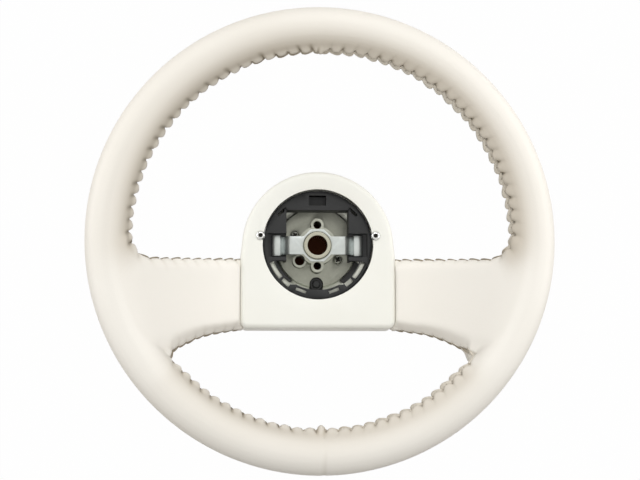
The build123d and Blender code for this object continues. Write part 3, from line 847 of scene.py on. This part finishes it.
def make_leather(rim, pitch):
    """The padded leather cover: rim and spokes in one skin, drawn in at every stitch."""
    made = shape_skin(rim)
    mesh = made.data
    skin = BVHTree.FromPolygons(
        [vert.co for vert in mesh.vertices], [face.vertices for face in mesh.polygons])
    seams = {(upper, hand): seat_seam(skin, rim, upper, hand, pitch)
             for upper in (True, False) for hand in (1, -1)}
    refine_near(mesh, seams.values(), REFINE_REACH)
    relax(mesh, REFINED_SHARE * ease(np.abs(get_points(mesh)[:, 0]), *PAST_HUB), REFINED_PASSES)
    points, normals = get_points(mesh), get_normals(mesh)
    dark, near = np.zeros((2, len(points)))
    for seam in seams.values():
        move, shade, close = gather(points, seam, rim)
        points += normals * move[:, None]
        dark = np.maximum(dark, shade)
        near = np.maximum(near, close)
    groove = ease(-points[:, 1], *JOIN_Y) * np.exp(-((points[:, 0] - JOIN_X) / JOIN_WIDTH) ** 2)
    points -= normals * (JOIN_DEPTH * groove)[:, None]
    set_points(mesh, points)
    # the crease mark: soil and painted shade beside the seams, painted shade in the creases, the dark joint,
    # and the darkening of faces turned away from the driver
    away_dark_share = near * away_darkening(points, get_normals(mesh))
    store(mesh, "crease", np.maximum.reduce([dark, JOIN_DARK * groove, away_dark_share]))
    mesh.shade_smooth()
    return made, seams


# Lacing

FOLD_ACROSS = (-0.5, -0.32, -0.13, 0.13, 0.32, 0.5)
FOLD_STATIONS = (0.02, 0.10, 0.24, 0.42, 0.62, 0.82, 0.98)
FOLD_BLUNT = 0.3
FOLD_SUNK, FOLD_KEEL, FOLD_KEEL_HALF = 0.12, -0.3, 0.3
LACE_RINGS, LACE_STEPS, LACE_THICK = 8, 6, 0.055
LACE_PAINTED_SHADE = 0.5
LACING_SIZES = ("Pitch", "Length", "Width", "Height", "Slant", "Tilt", "Gap")
# on the spokes' edges the folds are smaller, and lie a little before the seam
SPOKE_SWELL, SPOKE_SIDE = 0.42, -0.4
FOLD_WOBBLE = (0.88, 1.14)
FOLD_AHEAD = 0.1


def fold_mesh():
    """One gathered fold of unit size: along X, blunt behind and pointed ahead, and standing out along Z."""
    points = []
    for t in FOLD_STATIONS:
        if t < FOLD_BLUNT:
            fat = math.sqrt(1 - (1 - t / FOLD_BLUNT) ** 2)
        else:
            fat = math.cos(math.pi / 2 * (t - FOLD_BLUNT) / (1 - FOLD_BLUNT)) ** 0.75
        for y in FOLD_ACROSS:
            points.append((t - 0.5, y * fat, fat * (0.5 + 0.5 * math.cos(2 * math.pi * y)) - FOLD_SUNK))
        for y in (FOLD_KEEL_HALF, -FOLD_KEEL_HALF):
            points.append((t - 0.5, y * fat, FOLD_KEEL))
    return mesh_object("fold", points, loop_faces(len(FOLD_STATIONS), len(FOLD_ACROSS) + 2, False))


def lace_mesh():
    """One visible crossing of the lace: an arch of unit size over the seam."""
    points = []
    for ring in range(LACE_RINGS):
        bend = math.pi * ring / (LACE_RINGS - 1)
        for step in range(LACE_STEPS):
            turn = 2 * math.pi * step / LACE_STEPS
            reach = 0.5 + LACE_THICK * math.cos(turn)
            points.append((LACE_THICK * math.sin(turn), -reach * math.cos(bend), reach * math.sin(bend)))
    return mesh_object("lace", points, loop_faces(LACE_RINGS, LACE_STEPS, False))


def start_tree(name, sockets):
    """A new geometry tree with named inputs and one geometry output."""
    tree = bpy.data.node_groups.new(name, "GeometryNodeTree")
    for socket, kind in sockets:
        tree.interface.new_socket(socket, in_out="INPUT", socket_type=f"NodeSocket{kind}")
    tree.interface.new_socket("Result", in_out="OUTPUT", socket_type="NodeSocketGeometry")
    return tree, tree.nodes.new("NodeGroupInput").outputs


def end_tree(tree, geometry, material):
    """Makes the instances real, smooth and finished, and hands them out."""
    real = add_node(tree, "GeometryNodeRealizeInstances", {0: geometry})
    smooth = add_node(tree, "GeometryNodeSetShadeSmooth", {"Geometry": real.outputs[0]})
    finish = add_node(tree, "GeometryNodeSetMaterial", {"Geometry": smooth.outputs[0], "Material": material})
    add_node(tree, "NodeGroupOutput", {0: finish.outputs[0]})


def lacing_tree():
    """Geometry nodes that lay the far edge's folds, and the lace that draws both edges in, along a seam."""
    tree, given = start_tree("Seam Lacing", (
        ("Seam", "Geometry"), ("Fold", "Object"), ("Lace", "Object"), ("Count", "Int"),
        *((name, "Float") for name in LACING_SIZES), ("Seed", "Int"), ("Material", "Material")))
    line = add_node(tree, "GeometryNodeMeshToCurve", {"Mesh": given["Seam"]})
    spots = add_node(tree, "GeometryNodeResampleCurve", {
        "Curve": line.outputs[0], "Count": given["Count"]}, mode="COUNT")
    out, facing, swell, side = (
        add_node(tree, "GeometryNodeInputNamedAttribute", {"Name": name}, data_type=kind).outputs[0]
        for name, kind in (("out", "FLOAT_VECTOR"), ("facing", "FLOAT"),
                           ("swell", "FLOAT"), ("side", "FLOAT")))
    run = add_node(tree, "GeometryNodeInputTangent")
    stand = add_node(tree, "FunctionNodeAlignRotationToVector", {"Vector": out}, axis="Z")
    lie = add_node(tree, "FunctionNodeAlignRotationToVector", {
        "Rotation": stand.outputs[0], "Vector": run.outputs[0]}, axis="X", pivot_axis="Z")
    narrow, low, back, aside, ahead, half = (
        add_node(tree, "ShaderNodeMath", {0: size, 1: share}, operation="MULTIPLY").outputs[0]
        for size, share in ((given["Width"], swell), (given["Height"], swell), (given["Slant"], -1.0),
                            (given["Gap"], side), (given["Pitch"], FOLD_AHEAD), (given["Pitch"], 0.5)))
    # the folds, each a little larger or smaller than the next
    fold = add_node(tree, "GeometryNodeObjectInfo", {"Object": given["Fold"]})
    size = add_node(tree, "ShaderNodeCombineXYZ", {"X": given["Length"], "Y": narrow, "Z": low})
    wobble = add_node(tree, "FunctionNodeRandomValue", {
        2: FOLD_WOBBLE[0], 3: FOLD_WOBBLE[1], "Seed": given["Seed"]})
    uneven = add_node(tree, "ShaderNodeVectorMath", {
        0: size.outputs[0], "Scale": wobble.outputs[1]}, operation="SCALE")
    slant = add_node(tree, "ShaderNodeMath", {0: back, 1: facing}, operation="MULTIPLY")
    tilt = add_node(tree, "ShaderNodeCombineXYZ", {"Y": given["Tilt"], "Z": slant.outputs[0]})
    spin = add_node(tree, "FunctionNodeEulerToRotation", {0: tilt.outputs[0]})
    turned = add_node(tree, "FunctionNodeRotateRotation", {
        "Rotation": lie.outputs[0], "Rotate By": spin.outputs[0]}, rotation_space="LOCAL")
    shift = add_node(tree, "ShaderNodeCombineXYZ", {"X": ahead, "Y": aside})
    swung = add_node(tree, "FunctionNodeRotateVector", {
        "Vector": shift.outputs[0], "Rotation": lie.outputs[0]})
    beside = add_node(tree, "GeometryNodeSetPosition", {
        "Geometry": spots.outputs[0], "Offset": swung.outputs[0]})
    folds = add_node(tree, "GeometryNodeInstanceOnPoints", {
        "Points": beside.outputs[0], "Instance": fold.outputs["Geometry"],
        "Rotation": turned.outputs[0], "Scale": uneven.outputs[0]})
    # the lace lies deep between the folds, and is drawn dark there as painted shade
    lace = add_node(tree, "GeometryNodeObjectInfo", {"Object": given["Lace"]})
    shaded = add_node(tree, "GeometryNodeStoreNamedAttribute", {
        "Geometry": lace.outputs["Geometry"], "Name": "crease", "Value": LACE_PAINTED_SHADE}, data_type="FLOAT")
    arch = add_node(tree, "ShaderNodeCombineXYZ", {"X": given["Width"], "Y": narrow, "Z": low})
    crossings = add_node(tree, "GeometryNodeInstanceOnPoints", {
        "Points": spots.outputs[0], "Instance": shaded.outputs[0],
        "Rotation": lie.outputs[0], "Scale": arch.outputs[0]})
    between = add_node(tree, "ShaderNodeCombineXYZ", {"X": half})
    laces = add_node(tree, "GeometryNodeTranslateInstances", {
        "Instances": crossings.outputs[0], "Translation": between.outputs[0], "Local Space": True})
    joined = add_node(tree, "GeometryNodeJoinGeometry")
    for part in (folds, laces):
        tree.links.new(part.outputs[0], joined.inputs[0])
    end_tree(tree, joined.outputs[0], given["Material"])
    return tree


def grow(made, tree, values):
    """Runs a geometry tree on an object with these named inputs, and keeps the result as its plain mesh."""
    modifier = made.modifiers.new("grow", "NODES")
    modifier.node_group = tree
    for socket in tree.interface.items_tree:
        if socket.item_type == "SOCKET" and socket.name in values:
            modifier[socket.identifier] = values[socket.name]
    apply_modifiers(made)


def make_lacing(name, halves, tree, shapes, settings, material, seed):
    """The folds and lace of one seam, on both hands, as a plain mesh."""
    places, outs, on_rim = (
        np.concatenate([half[key] for half in halves]) for key in ("places", "outs", "on_rim"))
    facing = np.concatenate([np.full(len(half["places"]), half["facing"]) for half in halves])
    split = len(halves[0]["places"])
    edges = [(step, step + 1) for step in range(len(places) - 1) if step != split - 1]
    mesh = bpy.data.meshes.new(name)
    mesh.from_pydata([tuple(place) for place in places], edges, [])
    out = mesh.attributes.new("out", "FLOAT_VECTOR", "POINT")
    out.data.foreach_set("vector", outs.astype(np.float32).ravel())
    store(mesh, "facing", facing)
    store(mesh, "side", facing * (SPOKE_SIDE + (1 - SPOKE_SIDE) * on_rim))
    store(mesh, "swell", SPOKE_SWELL + (1 - SPOKE_SWELL) * on_rim)
    made = link_object(name, mesh)
    values = {size: getattr(settings, size.lower()) for size in LACING_SIZES}
    grow(made, tree, values | {"Fold": shapes[0], "Lace": shapes[1], "Count": halves[0]["count"] + 1,
                               "Seed": seed, "Material": material})
    shade = made.data.attributes["crease"].data
    dark = np.empty(len(shade), np.float32)
    shade.foreach_get("value", dark)
    dark = np.maximum(dark, away_darkening(get_points(made.data), get_normals(made.data)))
    shade.foreach_set("value", dark.astype(np.float32))
    return made


# Hub pieces

# degrees between faces: facets are merged, and sharper edges are broken
FACET_ANGLE = 1
SMOOTH_ANGLE, SHROUD_ANGLE = 38, 30


def softened(node, name, edge, sharp=SMOOTH_ANGLE):
    """A copy of a CAD piece with its facets merged, its edges broken and its curves shaded smooth."""
    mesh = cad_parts[node].data.copy()
    mesh.name = name
    made = link_object(name, mesh)
    work = bmesh.new()
    work.from_mesh(mesh)
    bmesh.ops.remove_doubles(work, verts=work.verts, dist=SOLID_MERGE)
    bmesh.ops.dissolve_limit(work, angle_limit=math.radians(FACET_ANGLE), verts=work.verts, edges=work.edges)
    work.to_mesh(mesh)
    work.free()
    bevel = made.modifiers.new("edges", "BEVEL")
    bevel.width = edge
    bevel.segments = 2
    bevel.limit_method = "ANGLE"
    bevel.angle_limit = math.radians(sharp)
    apply_modifiers(made)
    made.data.shade_smooth()
    made.data.set_sharp_from_angle(angle=math.radians(sharp))
    return made


# Screws, in millimetres

SHROUD_SCREWS = [(47.8, 7.1), (-47.8, 7.1)]
REAR_SCREWS = [(50.0, 20.5), (-50.0, 20.5), (50.0, -61.0), (-50.0, -61.0)]
CAM_SCREWS = [(-18.1, 10.4), (18.1, -10.4)]
# reach and height of each screw's rings from the end of its shank, by outline
SHROUD_SCREW = (
    ("round", ((2.0, 14.0), (2.0, 45.6), (3.7, 45.6), (3.8, 45.8), (3.8, 46.3), (3.6, 47.1), (3.15, 47.8),
               (2.5, 48.35), (1.9, 48.6))),
    ("socket", ((1.6, 48.6), (1.5, 48.3), (1.45, 46.4))))
CAM_SCREW = (
    ("round", ((1.5, 7.0), (1.5, 16.5), (3.5, 16.5), (3.6, 16.7), (3.6, 17.5), (3.4, 18.2), (2.9, 18.7),
               (2.5, 18.9))),
    ("cross", ((2.2, 18.9), (2.05, 18.75), (1.3, 17.3))))
REAR_SCREW = (
    ("round", ((1.6, 18.0), (1.6, 4.0))),
    ("hexagon", ((2.85, 4.0), (2.94, 3.9), (2.94, 2.7))),
    ("round", ((2.8, 2.4), (2.5, 2.2))))
SCREW_STEPS = 48
SCREW_SHARP = 35
CROSS_HALF = 0.26


def outline_reach(turn, outline):
    """Distance to the edge of a unit outline in one direction."""
    if outline in ("hexagon", "socket"):
        return 1 / math.cos((turn + math.pi / 6) % (math.pi / 3) - math.pi / 6)
    if outline == "cross":
        across = abs((turn + math.pi / 4) % (math.pi / 2) - math.pi / 4)
        return min(1 / math.cos(across), CROSS_HALF / max(math.sin(across), 0.001))
    return 1.0


def screw_mesh(name, profile):
    """One screw on the Z axis, turned from its rings."""
    rings = [(outline, *ring) for outline, group in profile for ring in group]
    points = []
    for outline, reach, height in rings:
        for step in range(SCREW_STEPS):
            turn = 2 * math.pi * step / SCREW_STEPS
            far = reach * outline_reach(turn, outline)
            points.append((far * math.cos(turn) * MM, far * math.sin(turn) * MM, height * MM))
    made = mesh_object(name, points, loop_faces(len(rings), SCREW_STEPS, False))
    # the rings of the socket and the cross are marked for painted shade
    store(made.data, "recess", np.repeat([ring[0] in ("socket", "cross") for ring in rings], SCREW_STEPS))
    outward(made.data)
    return made


def screw_tree():
    """Geometry nodes that set one screw at each place, each turned as it was left when driven home."""
    tree, given = start_tree("Screw Set", (
        ("Places", "Geometry"), ("Screw", "Object"), ("Turn", "Float"), ("Seed", "Int"),
        ("Material", "Material")))
    screw = add_node(tree, "GeometryNodeObjectInfo", {"Object": given["Screw"]})
    left = add_node(tree, "FunctionNodeRandomValue", {2: 0.0, 3: given["Turn"], "Seed": given["Seed"]})
    turn = add_node(tree, "ShaderNodeCombineXYZ", {"Z": left.outputs[1]})
    spin = add_node(tree, "FunctionNodeEulerToRotation", {0: turn.outputs[0]})
    placed = add_node(tree, "GeometryNodeInstanceOnPoints", {
        "Points": given["Places"], "Instance": screw.outputs["Geometry"], "Rotation": spin.outputs[0]})
    end_tree(tree, placed.outputs[0], given["Material"])
    return tree


def make_screws(name, places, profile, tree, material, seed):
    """A set of like screws as a plain mesh."""
    shape = screw_mesh("screw", profile)
    made = mesh_object(name, [(x * MM, y * MM, 0) for x, y in places], [])
    grow(made, tree, {"Screw": shape, "Turn": math.radians(60), "Seed": seed, "Material": material})
    made.data.set_sharp_from_angle(angle=math.radians(SCREW_SHARP))
    bpy.data.objects.remove(shape)
    return made


# Stage, in metres

FLOOR_HALF = 6.0
HUB_SHADE = (0.040, 0.055)
# the key and the fill are placed from the middle of the rim, and the strips from the point they aim at
KEY_PLACE, KEY_SIZE = Vector((0.1, 1.35, 0.95)), (1.6, 1.0)
FILL_PLACE, FILL_SIZE = Vector((0.05, -0.12, 1.6)), (1.4, 1.4)
STRIP_AIM, STRIP_AWAY, STRIP_SIZE = Vector((0, 0.25, 0.08)), Vector((1.0, 0, 0)), (1.4, 0.13)


def backdrop_rays(tree):
    """1 for rays that show the background to the eye, in metal and through glass, and 0 for the others."""
    path = add_node(tree, "ShaderNodeLightPath").outputs
    seen = add_node(tree, "ShaderNodeMath", {
        0: path["Is Camera Ray"], 1: path["Is Glossy Ray"]}, operation="MAXIMUM")
    through = add_node(tree, "ShaderNodeMath", {
        0: seen.outputs[0], 1: path["Is Transmission Ray"]}, operation="MAXIMUM")
    return through.outputs[0]


def white_floor():
    """Pale painted board: white to the eye and in reflections, with a trace of shadow."""
    material = bpy.data.materials.new("Painted Board")
    material.use_nodes = True
    tree = material.node_tree
    tree.nodes.clear()
    place = add_node(tree, "ShaderNodeTexCoord")
    reach = add_node(tree, "ShaderNodeVectorMath", {0: place.outputs["Object"]}, operation="LENGTH")
    # the board under the hub lies in its shade and is painted dark brown there as painted shade, so it shows
    # dark through the holes
    open_board = add_node(tree, "ShaderNodeMapRange", {
        "Value": reach.outputs["Value"], "From Min": HUB_SHADE[0], "From Max": HUB_SHADE[1],
        "To Min": 0.0, "To Max": 0.99})
    share = add_node(tree, "ShaderNodeMath", {
        0: backdrop_rays(tree), 1: open_board.outputs[0]}, operation="MULTIPLY")
    tone = add_node(tree, "ShaderNodeMix", {
        "Factor": open_board.outputs[0], 6: linear("4A2A1C"), 7: linear("A59D92")}, data_type="RGBA")
    board = add_node(tree, "ShaderNodeBsdfDiffuse", {"Color": tone.outputs[2]})
    glow = add_node(tree, "ShaderNodeEmission", {"Color": (1, 1, 1, 1), "Strength": 1.0})
    mixed = add_node(tree, "ShaderNodeMixShader", {
        0: share.outputs[0], 1: board.outputs[0], 2: glow.outputs[0]})
    add_node(tree, "ShaderNodeOutputMaterial", {"Surface": mixed.outputs[0]})
    return material


def add_lamp(name, place, aim, size, power):
    """A soft rectangular lamp that faces a point."""
    lamp = bpy.data.lights.new(name, "AREA")
    lamp.shape = "RECTANGLE"
    lamp.size, lamp.size_y = size
    lamp.energy = power
    made = link_object(name, lamp)
    made.location = place
    made.rotation_euler = (aim - place).to_track_quat("-Z", "Y").to_euler()
    return made


def light_world(strength):
    """Even surroundings: white to the eye and in reflections, and a soft light on everything else."""
    world = bpy.data.worlds.new("surround")
    world.use_nodes = True
    tree = world.node_tree
    level = add_node(tree, "ShaderNodeMapRange", {
        "Value": backdrop_rays(tree), "To Min": strength, "To Max": 0.9})
    back = tree.nodes["Background"]
    back.inputs["Color"].default_value = linear("FFFDF8")
    tree.links.new(level.outputs[0], back.inputs["Strength"])
    bpy.context.scene.world = world


# Operators

class WHEEL_OT_leather(bpy.types.Operator):
    """Make the padded leather cover and the laced seams that close it"""

    bl_idname = "wheel.leather"
    bl_label = "Leather and Lacing"

    def execute(self, context):
        rim, lacing = context.scene.wheel_rim, context.scene.wheel_lacing
        hide = grained_leather("Grained Cowhide", tuple(rim.colour), 1.3)
        cover, seams = make_leather(rim, lacing.pitch)
        finish_piece(cover, hide, WHEEL, "leather", "leather_cover")
        folded = grained_leather("Folded Cowhide", tuple(lacing.colour), 0.9)
        tree = lacing_tree()
        shapes = (fold_mesh(), lace_mesh())
        for seam, upper, seed in (("upper", True, 3), ("lower", False, 8)):
            halves = [seams[upper, 1], seams[upper, -1]]
            piece = make_lacing(f"{seam}_laced_edge", halves, tree, shapes, lacing, folded, seed)
            finish_piece(piece, folded, WHEEL, "lacing", f"{seam}_lacing")
        for shape in shapes:
            bpy.data.objects.remove(shape)
        return {"FINISHED"}


class WHEEL_OT_mouldings(bpy.types.Operator):
    """Finish the off-white hub mouldings and the black mouldings inside them"""

    bl_idname = "wheel.mouldings"
    bl_label = "Hub Mouldings"

    def execute(self, context):
        hub = context.scene.wheel_hub
        white = moulded_plastic("Moulded Off-white ABS", tuple(hub.moulding), linear("F0EFE6"), 0.44, 0.5)
        black = moulded_plastic("Moulded Black ABS", tuple(hub.carrier), linear("202122"), 0.5, 0.6)
        for node in ("hub_shroud", "rear_cover"):
            made = softened(node, f"{node}_moulding", 2 * hub.edge, SHROUD_ANGLE)
            finish_piece(made, white, WHEEL, "white_moulding", node)
        inner = (("horn_carrier", WHEEL, 1), ("cancel_cam", WHEEL, 1), ("contact_pin", PIN, 0.5))
        for node, body, share in inner:
            made = softened(node, f"{node}_moulding", share * hub.edge)
            finish_piece(made, black, body, "black_moulding", node)
        return {"FINISHED"}


class WHEEL_OT_metal(bpy.types.Operator):
    """Finish the metal pieces of the hub, the screws and the hoop in the rim"""

    bl_idname = "wheel.metal"
    bl_label = "Metal and Screws"

    def execute(self, context):
        hub = context.scene.wheel_hub
        zinc = plated_steel("Zinc-plated Spring Steel", linear("DFE4E3"), linear("C0C7C7"), 0.34)
        dull = plated_steel("Zinc-plated Screw Steel", linear("BDBFB6"), linear("86887F"), 0.34)
        bright = plated_steel("Chromed Screw Steel", linear("F2F2F2"), linear("D4D6D8"), 0.12)
        steel = turned_metal("Turned Steel", linear("D6D5C6"), linear("A9A898"), 0.25, 0.26)
        brass = turned_metal("Turned Brass", linear("D9B56A"), linear("B08B45"), 0.4, 0.28)
        paint = moulded_plastic("Black-painted Steel", linear("2A2A2A"), linear("333333"), 0.4, 1.2)
        alloy = cast_alloy("Die-cast Aluminium")
        pieces = (("hub_casting", alloy, "casting", 1.3), ("spline_boss", steel, "turned_steel", 1.0),
                  ("contact_strip", zinc, "spring_steel", 0.5), ("slip_ring", brass, "brass", 0.5))
        for node, material, slot, share in pieces:
            finish_piece(softened(node, f"{node}_finished", share * hub.edge), material, WHEEL, slot, node)
        spring = softened("pin_spring", "pin_spring_finished", 0.3 * hub.edge)
        finish_piece(spring, zinc, WHEEL, "spring_steel", "pin_spring")
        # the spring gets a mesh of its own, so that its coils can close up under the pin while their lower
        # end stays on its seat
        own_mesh(spring)
        tree = screw_tree()
        screws = (("shroud_screws", SHROUD_SCREWS, SHROUD_SCREW, bright, "chrome", 2),
                  ("cam_screws", CAM_SCREWS, CAM_SCREW, dull, "zinc_steel", 5),
                  ("rear_cover_screws", REAR_SCREWS, REAR_SCREW, dull, "zinc_steel", 7))
        for node, places, profile, material, slot, seed in screws:
            made = make_screws(f"{node}_finished", places, profile, tree, material, seed)
            finish_piece(made, material, WHEEL, slot, node)
        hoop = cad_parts["rim_frame"]
        hoop.data.materials.clear()
        hoop.data.materials.append(paint)
        return {"FINISHED"}


class WHEEL_OT_stage(bpy.types.Operator):
    """Set up the floor, the light and the camera"""

    bl_idname = "wheel.stage"
    bl_label = "Stage"

    def execute(self, context):
        stage, rim = context.scene.wheel_stage, context.scene.wheel_rim
        centre = Vector((0, 0, rim.rim_height))
        corners = [(x * FLOOR_HALF, y * FLOOR_HALF, 0) for x, y in ((-1, -1), (1, -1), (1, 1), (-1, 1))]
        floor = mesh_object("floor", corners, [(0, 1, 2, 3)])
        floor.data.materials.append(white_floor())
        add_lamp("key_lamp", centre + KEY_PLACE, centre, KEY_SIZE, stage.key)
        fill = add_lamp("fill_lamp", centre + FILL_PLACE, centre, FILL_SIZE, stage.fill)
        # the hub's flat metal faces this lamp, and mirrors the white room instead
        fill.visible_glossy = False
        for name, hand in (("right_strip", 1), ("left_strip", -1)):
            add_lamp(name, STRIP_AIM + hand * STRIP_AWAY, STRIP_AIM, STRIP_SIZE, stage.side)
        light_world(stage.surround)
        lens = bpy.data.cameras.new("camera")
        lens.lens = stage.lens
        lens.sensor_width = 36.0
        camera = link_object("camera", lens)
        offset = Vector(stage.camera_offset)
        camera.location = centre + offset
        back = (offset - Vector(stage.aim_offset)).normalized()
        right = Vector((0, 1, 0)).cross(back).normalized()
        camera.rotation_euler = Matrix((right, back.cross(right), back)).transposed().to_euler()
        context.scene.camera = camera
        context.scene.view_settings.view_transform = "Standard"
        return {"FINISHED"}


class WHEEL_PT_panel(bpy.types.Panel):
    """Lists the steps that dress the wheel"""

    bl_label = "Laced Steering Wheel"
    bl_idname = "WHEEL_PT_panel"
    bl_space_type = "VIEW_3D"
    bl_region_type = "UI"
    bl_category = "Wheel"

    def draw(self, context):
        for operator in OPERATORS:
            self.layout.operator(operator.bl_idname)
        for name, group in SETTINGS.items():
            box = self.layout.box()
            for setting in group.__annotations__:
                box.prop(getattr(context.scene, name), setting)


OPERATORS = (WHEEL_OT_leather, WHEEL_OT_mouldings, WHEEL_OT_metal, WHEEL_OT_stage)
SETTINGS = {"wheel_rim": RimSettings, "wheel_lacing": LacingSettings,
            "wheel_hub": HubSettings, "wheel_stage": StageSettings}


def register():
    """Registers the settings, the operators and the panel."""
    for name, group in SETTINGS.items():
        bpy.utils.register_class(group)
        setattr(bpy.types.Scene, name, bpy.props.PointerProperty(type=group))
    for operator in OPERATORS:
        bpy.utils.register_class(operator)
    bpy.utils.register_class(WHEEL_PT_panel)


def unregister():
    """Takes them out again."""
    bpy.utils.unregister_class(WHEEL_PT_panel)
    for operator in reversed(OPERATORS):
        bpy.utils.unregister_class(operator)
    for name, group in SETTINGS.items():
        delattr(bpy.types.Scene, name)
        bpy.utils.unregister_class(group)


def main():
    """Dresses the frame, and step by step."""
    register()
    bpy.ops.wheel.leather()
    bpy.ops.wheel.mouldings()
    bpy.ops.wheel.metal()
    bpy.ops.wheel.stage()


if __name__ == "__main__":
    main()
